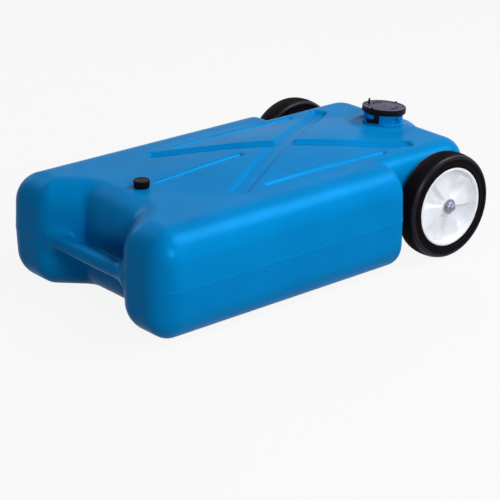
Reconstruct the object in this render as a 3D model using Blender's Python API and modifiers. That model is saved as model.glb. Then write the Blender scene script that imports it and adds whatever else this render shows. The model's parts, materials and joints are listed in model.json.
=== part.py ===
"""Portable waste water tank: a blow-moulded, wheeled tote tank lying flat on the ground.

The tank is laid out from its handle end: distances along it are measured from that end towards the
wheels. The parting plane of the mould is half way up. The finished model is centred on its length, with
+X towards the wheels, +Z up and the ground at zero. Left and right are those of someone who pulls the
tank by its handle, so left is the -Y side.
"""
import math

import bmesh
import bpy
from mathutils import Matrix, Vector

# Tank body
TANK_LENGTH = 0.794
TANK_WIDTH = 0.466
NOMINAL_HEIGHT = 0.204
WALL = 0.0035
DRAFT = math.radians(2.5)
EDGE_RADIUS = 0.054
LOBE_OUTER_RADIUS = 0.050
SHOULDER_RADIUS = 0.022
STEP_INNER_RADIUS = 0.010
STEP_EDGE_RADIUS = 0.014
WHEEL_END_RADIUS = 0.050
SHARPEST_CORNER = 0.002
STEP_IN = 0.0485

# The top falls towards the wheels and is pillowed in the middle
TOP_OVER_NOMINAL = 0.001
TOP_FALL = 0.006
PILLOW_RISE = 0.013
PILLOW_START = 0.140
PILLOW_TO_WHEEL_END = 0.054
PILLOW_FROM_SIDE = 0.068
PILLOW_TAPER = 0.10
PILLOW_POWER = 1.5
PILLOW_SINK = 0.0004
PILLOW_RINGS = 9

# The underside is raised between the wheels
WAIST_UNDERSIDE = 0.040
WAIST_UNDER_RADIUS = 0.052
END_UNDER_RADIUS = 0.045
WAIST_CUT_GAP = 0.0005

# Hand recess and handle bar
RECESS_DEPTH = 0.057
LOBE_WIDTH = 0.113
RECESS_FLARE = math.radians(45.0)
RECESS_MOUTH_RADIUS = 0.090
RECESS_CORNER_RADIUS = 0.025
BAR_RADIUS = 0.0145
BAR_FROM_END = 0.0225
BAR_FLARE_LENGTH = 0.030
BAR_FLARE = 0.0055
BAR_ROOT = 0.020

# Stiffening channels moulded into the top
CROSS_START = 0.2501
CROSS_TO_WHEEL_END = 0.1101
CROSS_ANGLE = math.radians(31.0)
CROSS_WIDTH = 0.035
CROSS_DEPTH = 0.0045
SIDE_GROOVE_START = 0.313
SIDE_GROOVE_TO_WHEEL_END = 0.182
SIDE_GROOVE_FROM_SIDE = 0.1005
CENTRE_GROOVE_START = 0.169
CENTRE_GROOVE_LENGTH = 0.207
GROOVE_WIDTH = 0.009
GROOVE_DEPTH = 0.0022
CHANNEL_SLOPE = 0.9
CHANNEL_STATIONS = 10
CHANNEL_END_TURNS = (30, 55, 80)

# Wheels
WHEEL_RADIUS = 0.1016
TYRE_WIDTH = 0.044
AXLE_FROM_WHEEL_END = 0.111
WHEEL_CLEARANCE = 0.0055
TREAD_WIDTH = 0.027
TREAD_CROWN = 0.0012
TYRE_SHOULDER_DROP = 0.009
TYRE_BULGE = 0.0022
RIM_RADIUS = 0.0757
RIM_WIDTH = 0.041
RIM_FLANGE = 0.003
RIM_CHANNEL_DEPTH = 0.0028
RIM_CHANNEL_SLOPE = 0.002
BARREL_LIP = 0.0052
BARREL_WALL = 0.0045
DISC_WALL = 0.0028
PETALS = 4
PETAL_ANGLE = math.radians(43.0)
PETAL_PHASE = math.radians(13.0)
PETAL_DEPTH_AT_HUB = 0.0045
PETAL_DEPTH_AT_RIM = 0.0100
POCKET_DEPTH = 0.0255
POCKET_WALL_SPREAD = 0.0065
POCKET_START = 0.012

# Axle, bushes, washers and push nuts
AXLE_RADIUS = 0.00635
AXLE_CHAMFER = 0.0008
AXLE_END_PROUD = 0.0042
AXLE_SLOT_WIDTH = 0.0018
AXLE_SLOT_DEPTH = 0.0016
TUNNEL_CLEARANCE = 0.0006
AXLE_BOSS_RADIUS = 0.018
AXLE_BOSS_PROUD = 0.0008
HUB_BOSS_RADIUS = 0.0145
HUB_BOSS_INBOARD = 0.0257
HUB_BOSS_OUTBOARD = 0.0150
HUB_BOSS_CORE_CLEARANCE = 0.0010
BUSH_WALL = 0.0030
BUSH_LENGTH = 0.0130
BUSH_FLANGE_RADIUS = 0.0125
BUSH_FLANGE = 0.0015
WASHER_RADIUS = 0.0143
WASHER_THICKNESS = 0.0016
NUT_RADIUS = 0.0098
NUT_HEIGHT = 0.0055
NUT_CROWN = 0.0025

# Filler neck and drain cap
NECK_FROM_WHEEL_END = 0.064
NECK_TILT = math.radians(5.5)
NECK_SEAT_RADIUS = 0.0650
NECK_SEAT_ROUNDING = ((0.018, 0.0), (0.011, 0.0012), (0.0055, 0.0042), (0.002, 0.009), (0.0005, 0.016))
NECK_RADIUS = 0.038
NECK_WALL = 0.004
NECK_HEIGHT = 0.0264
NECK_PHASE = math.radians(3.0)
CAP_RADIUS = 0.0427
CAP_SKIRT_CLEARANCE = 0.0008
CAP_SKIRT_HEIGHT = 0.0075
CAP_PLATE = 0.0030
CAP_RIM_WIDTH = 0.005
CAP_RIM_PROUD = 0.0009
GASKET_THICKNESS = 0.0022
GASKET_WIDTH = 0.0042
LUGS = 4
LUG_ANGLE = math.radians(22.0)
LUG_AZIMUTH = math.radians(199.3)
LUG_REACH = 0.0042
LUG_THICKNESS = 0.0070
LUG_UNDERSIDE = 0.0125
HOOKS = 2
HOOK_ARM_ANGLE = math.radians(13.5)
HOOK_FOOT_THICKNESS = 0.0070
HOOK_SIDE_GAP = math.radians(1.5)
HOOK_FOOT_PAST_LUG = math.radians(1.5)
STOP_ANGLE = math.radians(4.0)
STOP_GAP = math.radians(2.0)
STOP_HEIGHT = 0.0070
CAP_TURN = math.radians(45.0)
CAP_RISE = 0.0015
POST_WIDTH = 0.0055
POST_THICKNESS = 0.0035
POST_HEIGHT = 0.0120
POST_FROM_AXIS = 0.030
POST_AZIMUTH = math.radians(129.0)
RIM_NUB = 0.0026

# Vent cap
VENT_FROM_HANDLE_END = 0.1395
VENT_STUB_RADIUS = 0.0100
VENT_STUB_BORE = 0.0060
VENT_STUB_HEIGHT = 0.0090
VENT_CAP_RADIUS = 0.0148
VENT_CAP_TAPER = 0.0006
VENT_CAP_ROOF = 0.0030
VENT_CAP_CLEARANCE = 0.0007
VENT_GASKET_THICKNESS = 0.0018
VENT_KNURLS = 30
VENT_KNURL_DEPTH = 0.0006

# General
FIT = 0.0003
CORNER_STEPS = 6
EDGE_STEPS = 5
HOLLOW_CORNER_STEPS = 3
HOLLOW_EDGE_STEPS = 3
ROUND_STEPS = 36
SMALL_STEPS = 24
BUSH_STEPS = 18
OVERLAP = 0.010
WELD = 0.00001

# Places that follow from the sizes above
half_height = NOMINAL_HEIGHT / 2
half_width = TANK_WIDTH / 2
half_waist = half_width - STEP_IN
recess_half_mouth = half_width - LOBE_WIDTH
top_at_handle_end = NOMINAL_HEIGHT + TOP_OVER_NOMINAL
top_slope = -TOP_FALL / TANK_LENGTH
pillow_half_length = (TANK_LENGTH - PILLOW_TO_WHEEL_END - PILLOW_START) / 2
pillow_centre = PILLOW_START + pillow_half_length
cross_end = TANK_LENGTH - CROSS_TO_WHEEL_END
side_groove_end = TANK_LENGTH - SIDE_GROOVE_TO_WHEEL_END
axle_x = TANK_LENGTH - AXLE_FROM_WHEEL_END
axle_z = WHEEL_RADIUS
neck_x = TANK_LENGTH - NECK_FROM_WHEEL_END
step_x = axle_x - WHEEL_RADIUS - WHEEL_CLEARANCE
axle_boss_face = half_waist + AXLE_BOSS_PROUD
wheel_mid_y = axle_boss_face + FIT + WASHER_THICKNESS + FIT + BUSH_FLANGE + FIT + HUB_BOSS_INBOARD
outer_washer_at = HUB_BOSS_OUTBOARD + FIT + BUSH_FLANGE + FIT
nut_at = outer_washer_at + WASHER_THICKNESS + FIT
axle_half = wheel_mid_y + nut_at + NUT_HEIGHT + AXLE_END_PROUD
gasket_at = NECK_HEIGHT + FIT
plate_at = gasket_at + GASKET_THICKNESS + FIT
vent_gasket_at = VENT_STUB_HEIGHT + FIT
vent_roof_at = vent_gasket_at + VENT_GASKET_THICKNESS + FIT
hook_rise_per_angle = CAP_RISE / CAP_TURN
neck_lean = (0, NECK_TILT, 0)


def along(distance):
    """World X of a distance from the handle end."""
    return distance - TANK_LENGTH / 2


def pillow_half_width(distance):
    return half_width - PILLOW_FROM_SIDE - PILLOW_TAPER * (distance - pillow_centre)


def top_height(x, y):
    """Height of the top's outer skin over the ground at a world place, channels and neck left out."""
    distance = x + TANK_LENGTH / 2
    reach = ((distance - pillow_centre) / pillow_half_length) ** 2 + (y / pillow_half_width(distance)) ** 2
    return top_at_handle_end + top_slope * distance + PILLOW_RISE * max(1.0 - reach, 0.0) ** PILLOW_POWER


neck_seat = (along(neck_x), 0, top_height(along(neck_x), 0))
vent_seat = (along(VENT_FROM_HANDLE_END), 0, top_height(along(VENT_FROM_HANDLE_END), 0))


def clear_scene():
    for item in list(bpy.data.objects):
        bpy.data.objects.remove(item, do_unlink=True)


def new_collection(name):
    group = bpy.data.collections.new(name)
    bpy.context.scene.collection.children.link(group)
    return group


def new_material(name, colour, roughness, metallic=0.0):
    material = bpy.data.materials.new(name)
    material.use_nodes = True
    shader = material.node_tree.nodes["Principled BSDF"]
    shader.inputs["Base Color"].default_value = (*colour, 1.0)
    shader.inputs["Roughness"].default_value = roughness
    shader.inputs["Metallic"].default_value = metallic
    material.diffuse_color = (*colour, 1.0)
    return material


clear_scene()
parts = new_collection("portable_waste_water_tank")
cutters = new_collection("cutters")
blue_plastic = new_material("blue_polyethylene", (0.004, 0.175, 0.50), 0.42)
black_plastic = new_material("black_plastic", (0.012, 0.012, 0.014), 0.45)
black_rubber = new_material("black_rubber", (0.010, 0.010, 0.012), 0.62)
white_plastic = new_material("white_plastic", (0.82, 0.83, 0.85), 0.38)
bush_plastic = new_material("bush_nylon", (0.55, 0.53, 0.46), 0.45)
zinc_steel = new_material("zinc_plated_steel", (0.55, 0.56, 0.58), 0.32, 1.0)
seal_rubber = new_material("seal_rubber", (0.02, 0.02, 0.02), 0.75)


def place(name, mesh, material=None, parent=None, location=(0, 0, 0), rotation=(0, 0, 0)):
    """An object for a mesh: a part if it has a material, and otherwise a hidden cutter."""
    item = bpy.data.objects.new(name, mesh)
    item.location = location
    item.rotation_euler = rotation
    if parent:
        item.parent = parent
    if material:
        item.data.materials.append(material)
        parts.objects.link(item)
    else:
        item.hide_render = True
        item.display_type = "WIRE"
        cutters.objects.link(item)
    return item


def mesh_from(name, bm):
    bmesh.ops.recalc_face_normals(bm, faces=bm.faces)
    mesh = bpy.data.meshes.new(name)
    bm.to_mesh(mesh)
    bm.free()
    return mesh


def lofted_mesh(name, rings):
    """A closed skin through rings of equally many points, with a flat face at each end."""
    bm = bmesh.new()
    loops = [[bm.verts.new(point) for point in ring] for ring in rings]
    for lower, upper in zip(loops, loops[1:]):
        for i in range(len(lower)):
            j = (i + 1) % len(lower)
            bm.faces.new((lower[i], lower[j], upper[j], upper[i]))
    bm.faces.new(loops[0])
    bm.faces.new(loops[-1])
    return mesh_from(name, bm)


def cylinder_mesh(name, radius, low, high, steps=SMALL_STEPS, phase=0.0):
    """A cylinder about the local Z axis, between two heights."""
    bm = bmesh.new()
    bmesh.ops.create_cone(
        bm,
        cap_ends=True,
        segments=steps,
        radius1=radius,
        radius2=radius,
        depth=high - low,
        matrix=Matrix.Translation((0, 0, (low + high) / 2)) @ Matrix.Rotation(phase, 4, "Z"),
    )
    return mesh_from(name, bm)


def box_mesh(name, low, high):
    bm = bmesh.new()
    size = Vector(high) - Vector(low)
    middle = (Vector(high) + Vector(low)) / 2
    bmesh.ops.create_cube(bm, size=1.0, matrix=Matrix.Translation(middle) @ Matrix.Diagonal((*size, 1.0)))
    return mesh_from(name, bm)


def turned(name, profile, steps, closed, **placing):
    """A turned piece: the profile of (radius, height) points runs down its outer side."""
    mesh = bpy.data.meshes.new(name)
    edges = [(i, i + 1) for i in range(len(profile) - 1)]
    if closed:
        edges.append((len(profile) - 1, 0))
    mesh.from_pydata([(radius, 0.0, height) for radius, height in profile], edges, [])
    item = place(name, mesh, **placing)
    screw = item.modifiers.new("Turn", "SCREW")
    screw.angle = math.tau
    screw.steps = steps
    screw.render_steps = steps
    screw.use_merge_vertices = True
    screw.merge_threshold = WELD
    screw.use_smooth_shade = True
    return item


def combine(target, tool, operation):
    step = target.modifiers.new(tool.name, "BOOLEAN")
    step.operation = operation
    step.solver = "EXACT"
    step.object = tool
    return step


def offset_corners(corners, insets):
    """The corners of an anticlockwise outline, with each side moved inwards by its own inset."""
    moved = []
    for i, here in enumerate(corners):
        arriving = (here - corners[i - 1]).normalized()
        leaving = (corners[(i + 1) % len(corners)] - here).normalized()
        first = Vector((-arriving.y, arriving.x))
        second = Vector((-leaving.y, leaving.x))
        share = first.dot(second)
        before = insets[i - 1]
        after = insets[i]
        shift = first * (before - after * share) + second * (after - before * share)
        moved.append(here + shift / (1 - share * share))
    return moved


def rounded_outline(corners, radii, insets, steps):
    """An anticlockwise outline with round corners, each side moved inwards by its own inset."""
    points = offset_corners([Vector(corner) for corner in corners], insets)
    count = len(points)
    near = [min(insets[i - 1], insets[i]) for i in range(count)]
    turns = []
    for i, here in enumerate(points):
        back = (points[i - 1] - here).normalized()
        ahead = (points[(i + 1) % count] - here).normalized()
        hollow = back.x * ahead.y - back.y * ahead.x > 0
        turns.append((back, ahead, hollow, math.tan(back.angle(ahead) / 2)))
    reach = [max(radius - inset, SHARPEST_CORNER) for radius, inset in zip(radii, near)]
    for i, (back, ahead, hollow, half_tangent) in enumerate(turns):
        if not hollow:
            continue
        room = []
        for j in (i - 1, (i + 1) % count):
            span = (points[j] - points[i]).length
            room.append(span / 2 if turns[j][2] else span - reach[j] / turns[j][3])
        reach[i] = min(radii[i] + near[i], 0.98 * min(room) * half_tangent)
    outline = []
    for here, radius, (back, ahead, hollow, half_tangent) in zip(points, reach, turns):
        start = here + back * (radius / half_tangent)
        centre = here + (back + ahead).normalized() * (radius * math.hypot(1, 1 / half_tangent))
        sweep = math.pi - back.angle(ahead)
        if hollow:
            sweep = -sweep
        for k in range(steps + 1):
            outline.append(centre + Matrix.Rotation(sweep * k / steps, 2) @ (start - centre))
    return outline


def body_corners():
    """The plan outline at the parting plane, anticlockwise.

    Each corner comes with its radius and with the edge radius of the side that leaves it.
    """
    back = recess_half_mouth - RECESS_DEPTH / math.tan(RECESS_FLARE)
    near_side = [
        ((along(RECESS_DEPTH), -back), RECESS_CORNER_RADIUS),
        ((along(0.0), -recess_half_mouth), RECESS_MOUTH_RADIUS),
        ((along(0.0), -half_width), LOBE_OUTER_RADIUS),
        ((along(step_x), -half_width), SHOULDER_RADIUS),
        ((along(step_x), -half_waist), STEP_INNER_RADIUS),
        ((along(TANK_LENGTH), -half_waist), WHEEL_END_RADIUS),
    ]
    far_side = [((x, -y), radius) for (x, y), radius in reversed(near_side)]
    near_edges = [EDGE_RADIUS, EDGE_RADIUS, EDGE_RADIUS, STEP_EDGE_RADIUS, EDGE_RADIUS]
    edges = near_edges + [EDGE_RADIUS] + near_edges[::-1] + [EDGE_RADIUS]
    every = near_side + far_side
    return [corner for corner, radius in every], [radius for corner, radius in every], edges


def side_inset(height, edge_radius, depth):
    """How far a side has moved in at a height over the parting plane, at a depth under the outer skin."""
    centre_height = half_height - edge_radius
    flank = (centre_height + edge_radius * math.sin(DRAFT)) * math.tan(DRAFT)
    radius = edge_radius - depth
    if height <= centre_height + radius * math.sin(DRAFT):
        return height * math.tan(DRAFT) + depth / math.cos(DRAFT)
    reach = math.sqrt(max(radius ** 2 - (height - centre_height) ** 2, 0.0))
    return flank + edge_radius * math.cos(DRAFT) - reach


def body_mesh(name, depth, corner_steps, edge_steps):
    """The moulded body, or its hollow at a depth under the outer skin."""
    corners, radii, edges = body_corners()
    heights = [0.0]
    for k in range(edge_steps + 1):
        angle = DRAFT + (math.pi / 2 - DRAFT) * k / edge_steps
        heights.append(half_height - EDGE_RADIUS + (EDGE_RADIUS - depth) * math.sin(angle))
    levels = [-height for height in reversed(heights)] + heights[1:]
    rings = []
    for level in levels:
        insets = [side_inset(abs(level), edge, depth) for edge in edges]
        ring = []
        for point in rounded_outline(corners, radii, insets, corner_steps):
            top = top_at_handle_end + top_slope * (point.x + TANK_LENGTH / 2)
            stretch = (top - half_height) / half_height if level > 0 else 1.0
            ring.append((point.x, point.y, half_height + level * stretch))
        rings.append(ring)
    return lofted_mesh(name, rings)


def pillow_mesh(name, depth):
    """The raised middle of the top, with its skin at a depth under the outer skin."""
    rings = []
    for k in range(PILLOW_RINGS + 1):
        share = 1.0 - k / (PILLOW_RINGS + 1)
        ring = []
        for i in range(ROUND_STEPS):
            angle = math.tau * i / ROUND_STEPS
            distance = pillow_centre + pillow_half_length * share * math.cos(angle)
            x = along(distance)
            y = pillow_half_width(distance) * share * math.sin(angle)
            ring.append((x, y, top_height(x, y) - PILLOW_SINK - depth))
        rings.append(ring)
    foot = [(x, y, z - OVERLAP) for x, y, z in rings[0]]
    return lofted_mesh(name, [foot] + rings)


def under_corner(edge, outer_radius, depth, steps):
    """Quarter round from a wall at the edge down to the raised underside, as (place, height) points."""
    radius = outer_radius - depth
    centre = Vector((edge - outer_radius, WAIST_UNDERSIDE + outer_radius))
    points = []
    for k in range(steps + 1):
        angle = math.pi / 2 * k / steps
        points.append((centre.x + radius * math.cos(angle), centre.y - radius * math.sin(angle)))
    return points


def waist_under_mesh(name, depth):
    """What is taken from under the waist: a block with a round-cornered ridge for the waist to keep."""
    wall = half_waist - WAIST_CUT_GAP
    far = TANK_WIDTH
    low = -OVERLAP
    corner = under_corner(wall, WAIST_UNDER_RADIUS, depth, EDGE_STEPS)
    side_height = corner[0][1] + 2 * depth
    corner = [(corner[0][0], side_height)] + corner if depth else corner
    outline = [(-far, low), (far, low), (far, side_height)] + corner
    outline += [(-y, z) for y, z in reversed(corner)] + [(-far, side_height)]
    ends = (along(step_x) + WAIST_CUT_GAP - depth, along(TANK_LENGTH) + OVERLAP)
    return lofted_mesh(name, [[(x, y, z) for y, z in outline] for x in ends])


def end_under_mesh(name, depth):
    """What is taken from under the wheel end, leaving a rounded edge."""
    wall = TANK_LENGTH - WAIST_CUT_GAP
    far = along(TANK_LENGTH) + OVERLAP
    corner = under_corner(wall, END_UNDER_RADIUS, depth, EDGE_STEPS - 1)
    outline = [(far, corner[0][1])] + [(along(x), z) for x, z in corner]
    outline += [(along(corner[-1][0]), -OVERLAP), (far, -OVERLAP)]
    return lofted_mesh(name, [[(x, y, z) for x, z in outline] for y in (-TANK_WIDTH, TANK_WIDTH)])


def channel_mesh(name, middle, angle, size, above):
    """A round-ended trough with sloping sides that follows the top's skin."""
    length, width, depth = size
    direction = Vector((math.cos(angle), math.sin(angle)))
    aside = Vector((-direction.y, direction.x))
    straight = length / 2 - width / 2
    turns = [math.radians(turn) for turn in CHANNEL_END_TURNS]
    stations = [(-1.0, -turn) for turn in reversed(turns)]
    stations += [(2 * k / CHANNEL_STATIONS - 1, 0.0) for k in range(CHANNEL_STATIONS + 1)]
    stations += [(1.0, turn) for turn in turns]
    rings = []
    for share, turn in stations:
        ring = []
        for level, side in ((above, -1), (above, 1), (-depth, 1), (-depth, -1)):
            half_across = width / 2 + level * CHANNEL_SLOPE
            reach = share * straight + half_across * math.sin(turn)
            place_at = Vector(middle) + direction * reach + aside * (side * half_across * math.cos(turn))
            ring.append((place_at.x, place_at.y, top_height(place_at.x, place_at.y) + level))
        rings.append(ring)
    return lofted_mesh(name, rings)


def top_channels():
    """Name, middle, direction and size of each channel in the top."""
    side_y = half_width - SIDE_GROOVE_FROM_SIDE
    side_x = along((SIDE_GROOVE_START + side_groove_end) / 2)
    centre_x = along(CENTRE_GROOVE_START + CENTRE_GROOVE_LENGTH / 2)
    cross_x = along((CROSS_START + cross_end) / 2)
    wide = ((cross_end - CROSS_START) / math.cos(CROSS_ANGLE), CROSS_WIDTH, CROSS_DEPTH)
    side = (side_groove_end - SIDE_GROOVE_START, GROOVE_WIDTH, GROOVE_DEPTH)
    return [
        ("cross_a", (cross_x, 0.0), CROSS_ANGLE, wide),
        ("cross_b", (cross_x, 0.0), -CROSS_ANGLE, wide),
        ("groove_left", (side_x, -side_y), 0.0, side),
        ("groove_right", (side_x, side_y), 0.0, side),
        ("groove_centre", (centre_x, 0.0), 0.0, (CENTRE_GROOVE_LENGTH, GROOVE_WIDTH, GROOVE_DEPTH)),
    ]


def sector_mesh(name, inner, outer, start, end, under, over, steps=4):
    """A block bent round the Z axis; its underside and top are heights given for each angle."""
    rings = []
    for k in range(steps + 1):
        angle = start + (end - start) * k / steps
        direction = Vector((math.cos(angle), math.sin(angle), 0))
        low = Vector((0, 0, under(angle)))
        high = Vector((0, 0, over(angle)))
        lower = [direction * inner + low, direction * outer + low]
        upper = [direction * outer + high, direction * inner + high]
        rings.append(lower + upper)
    return lofted_mesh(name, rings)


def bar_profile(depth):
    """Half the handle bar at a depth under its skin, from its far end down to the middle and on."""
    mouth_at_bar = recess_half_mouth - BAR_FROM_END / math.tan(RECESS_FLARE)
    radius = BAR_RADIUS - depth
    half = [(radius, 0.0)]
    for k in range(5):
        share = k / 4
        height = mouth_at_bar - BAR_FLARE_LENGTH * (1 - share)
        half.append((radius + BAR_FLARE * share * share, height))
    half.append((radius + BAR_FLARE, mouth_at_bar + BAR_ROOT + depth))
    half.append((0.0, mouth_at_bar + BAR_ROOT + depth))
    return [(r, h) for r, h in reversed(half)] + [(r, -h) for r, h in half[1:]]


def build_tank():
    tank = place("tank_shell", body_mesh("tank_shell", 0.0, CORNER_STEPS, EDGE_STEPS), blue_plastic)
    hollow = place("hollow", body_mesh("hollow", WALL, HOLLOW_CORNER_STEPS, HOLLOW_EDGE_STEPS))
    across = (-math.pi / 2, 0, 0)
    bar_place = (along(BAR_FROM_END), 0, half_height)
    axle_place = (along(axle_x), 0, axle_z)
    neck_place = {"location": neck_seat, "rotation": neck_lean}

    for name, target, depth in (("skin", tank, 0.0), ("inside", hollow, WALL)):
        combine(target, place(f"pillow_{name}", pillow_mesh(f"pillow_{name}", depth)), "UNION")
        rounding = [(NECK_SEAT_RADIUS - inset - depth, -drop - depth) for inset, drop in NECK_SEAT_ROUNDING]
        low = -EDGE_RADIUS + depth
        profile = [(0.0, -depth)] + rounding + [(NECK_SEAT_RADIUS - depth, low), (0.0, low)]
        boss = turned(f"neck_seat_{name}", profile, ROUND_STEPS, False, **neck_place)
        combine(target, boss, "UNION")
        under = waist_under_mesh(f"waist_under_{name}", depth)
        combine(target, place(f"waist_under_{name}", under), "DIFFERENCE")
        end_under = end_under_mesh(f"end_under_{name}", depth)
        combine(target, place(f"end_under_{name}", end_under), "DIFFERENCE")

    neck = cylinder_mesh("neck", NECK_RADIUS, -WALL, NECK_HEIGHT, ROUND_STEPS, NECK_PHASE)
    combine(tank, place("neck", neck, **neck_place), "UNION")
    for i in range(LUGS):
        end = LUG_AZIMUTH + math.tau * i / LUGS
        start = end - LUG_ANGLE
        lug = sector_mesh(
            f"lug_{i}",
            NECK_RADIUS - NECK_WALL / 2,
            NECK_RADIUS + LUG_REACH,
            start,
            end,
            lambda angle, end=end: LUG_UNDERSIDE + (angle - end) * hook_rise_per_angle,
            lambda angle: LUG_UNDERSIDE + LUG_THICKNESS,
        )
        combine(tank, place(f"lug_{i}", lug, **neck_place), "UNION")
    for i in range(HOOKS):
        end = LUG_AZIMUTH + math.tau * i / HOOKS - LUG_ANGLE - HOOK_FOOT_PAST_LUG - STOP_GAP
        stop = sector_mesh(
            f"stop_{i}",
            NECK_RADIUS - NECK_WALL / 2,
            NECK_RADIUS + LUG_REACH,
            end - STOP_ANGLE,
            end,
            lambda angle: -WALL / 2,
            lambda angle: STOP_HEIGHT,
            2,
        )
        combine(tank, place(f"stop_{i}", stop, **neck_place), "UNION")

    for name, target, depth in (("bar", tank, 0.0), ("bar_hollow", hollow, WALL)):
        bar = turned(name, bar_profile(depth), SMALL_STEPS, False, location=bar_place, rotation=across)
        combine(target, bar, "UNION")

    vent_stub = cylinder_mesh("vent_stub", VENT_STUB_RADIUS, -WALL / 2, VENT_STUB_HEIGHT)
    combine(tank, place("vent_stub", vent_stub, location=vent_seat), "UNION")
    axle_bosses = place(
        "axle_bosses",
        cylinder_mesh("axle_bosses", AXLE_BOSS_RADIUS, -axle_boss_face, axle_boss_face),
        location=axle_place,
        rotation=across,
    )
    combine(tank, axle_bosses, "UNION")

    for name, middle, angle, size in top_channels():
        cut = channel_mesh(name, middle, angle, size, OVERLAP)
        combine(tank, place(name, cut), "DIFFERENCE")
        length, width, depth = size
        around = (length + 2 * WALL, width + 2 * WALL, depth + WALL)
        pad = channel_mesh(f"{name}_pad", middle, angle, around, OVERLAP)
        combine(hollow, place(f"{name}_pad", pad), "DIFFERENCE")

    tunnel_bore = AXLE_RADIUS + TUNNEL_CLEARANCE
    tunnel = place(
        "tunnel",
        cylinder_mesh("tunnel", tunnel_bore + WALL, -TANK_WIDTH, TANK_WIDTH),
        location=axle_place,
        rotation=across,
    )
    combine(hollow, tunnel, "DIFFERENCE")

    combine(tank, hollow, "DIFFERENCE")
    bore_radius = NECK_RADIUS - NECK_WALL
    neck_bore = cylinder_mesh(
        "neck_bore", bore_radius, -WALL - OVERLAP, NECK_HEIGHT + OVERLAP, ROUND_STEPS, NECK_PHASE
    )
    combine(tank, place("neck_bore", neck_bore, **neck_place), "DIFFERENCE")
    vent_bore = place(
        "vent_bore",
        cylinder_mesh("vent_bore", VENT_STUB_BORE, -WALL - OVERLAP, VENT_STUB_HEIGHT + OVERLAP),
        location=vent_seat,
    )
    combine(tank, vent_bore, "DIFFERENCE")
    axle_bore = place(
        "axle_bore",
        cylinder_mesh("axle_bore", tunnel_bore, -TANK_WIDTH, TANK_WIDTH),
        location=axle_place,
        rotation=across,
    )
    combine(tank, axle_bore, "DIFFERENCE")


def build_drain_cap():
    seat = bpy.data.objects.new("drain_cap_axis", None)
    seat.location = neck_seat
    seat.rotation_euler = neck_lean
    parts.objects.link(seat)
    skirt_inner = NECK_RADIUS + CAP_SKIRT_CLEARANCE
    skirt_foot = plate_at - CAP_SKIRT_HEIGHT
    plate_top = plate_at + CAP_PLATE
    rim_top = plate_top + CAP_RIM_PROUD
    rim_inner = CAP_RADIUS - CAP_RIM_WIDTH
    profile = [
        (0.0, plate_top),
        (rim_inner - CAP_RIM_PROUD, plate_top),
        (rim_inner, rim_top),
        (CAP_RADIUS - CAP_RIM_PROUD, rim_top),
        (CAP_RADIUS, rim_top - CAP_RIM_PROUD),
        (CAP_RADIUS, skirt_foot),
        (skirt_inner, skirt_foot),
        (skirt_inner, plate_at),
        (0.0, plate_at),
    ]
    cap = turned("drain_cap", profile, ROUND_STEPS, False, material=black_plastic, parent=seat)

    foot_top = LUG_UNDERSIDE - FIT
    join = plate_at - CAP_SKIRT_HEIGHT / 2
    for i in range(HOOKS):
        lug_end = LUG_AZIMUTH + math.tau * i / HOOKS
        arm_start = lug_end + HOOK_SIDE_GAP
        arm_end = arm_start + HOOK_ARM_ANGLE
        foot_start = lug_end - LUG_ANGLE - HOOK_FOOT_PAST_LUG

        def slope(angle, lug_end=lug_end):
            return foot_top + (angle - lug_end) * hook_rise_per_angle

        arm = sector_mesh(
            f"arm_{i}",
            skirt_inner,
            CAP_RADIUS,
            arm_start,
            arm_end,
            lambda angle: foot_top - HOOK_FOOT_THICKNESS / 2,
            lambda angle: join,
            2,
        )
        combine(cap, place(f"arm_{i}", arm, parent=seat), "UNION")
        foot = sector_mesh(
            f"foot_{i}",
            skirt_inner,
            CAP_RADIUS,
            foot_start,
            arm_end,
            lambda angle: foot_top - HOOK_FOOT_THICKNESS,
            slope,
            6,
        )
        combine(cap, place(f"foot_{i}", foot, parent=seat), "UNION")
        nub = sector_mesh(
            f"nub_{i}",
            CAP_RADIUS - CAP_RIM_WIDTH / 2,
            CAP_RADIUS,
            arm_start,
            arm_end,
            lambda angle: plate_at,
            lambda angle: rim_top + RIM_NUB,
            2,
        )
        combine(cap, place(f"nub_{i}", nub, parent=seat), "UNION")
    post = place(
        "grip_post",
        box_mesh(
            "grip_post",
            (POST_FROM_AXIS - POST_THICKNESS / 2, -POST_WIDTH / 2, plate_at + CAP_PLATE / 2),
            (POST_FROM_AXIS + POST_THICKNESS / 2, POST_WIDTH / 2, plate_top + POST_HEIGHT),
        ),
        parent=seat,
        rotation=(0, 0, POST_AZIMUTH),
    )
    combine(cap, post, "UNION")

    gasket_inner = NECK_RADIUS - GASKET_WIDTH
    gasket = [
        (NECK_RADIUS, gasket_at + GASKET_THICKNESS),
        (NECK_RADIUS, gasket_at),
        (gasket_inner, gasket_at),
        (gasket_inner, gasket_at + GASKET_THICKNESS),
    ]
    turned("drain_cap_gasket", gasket, ROUND_STEPS, True, material=seal_rubber, parent=seat)


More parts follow.
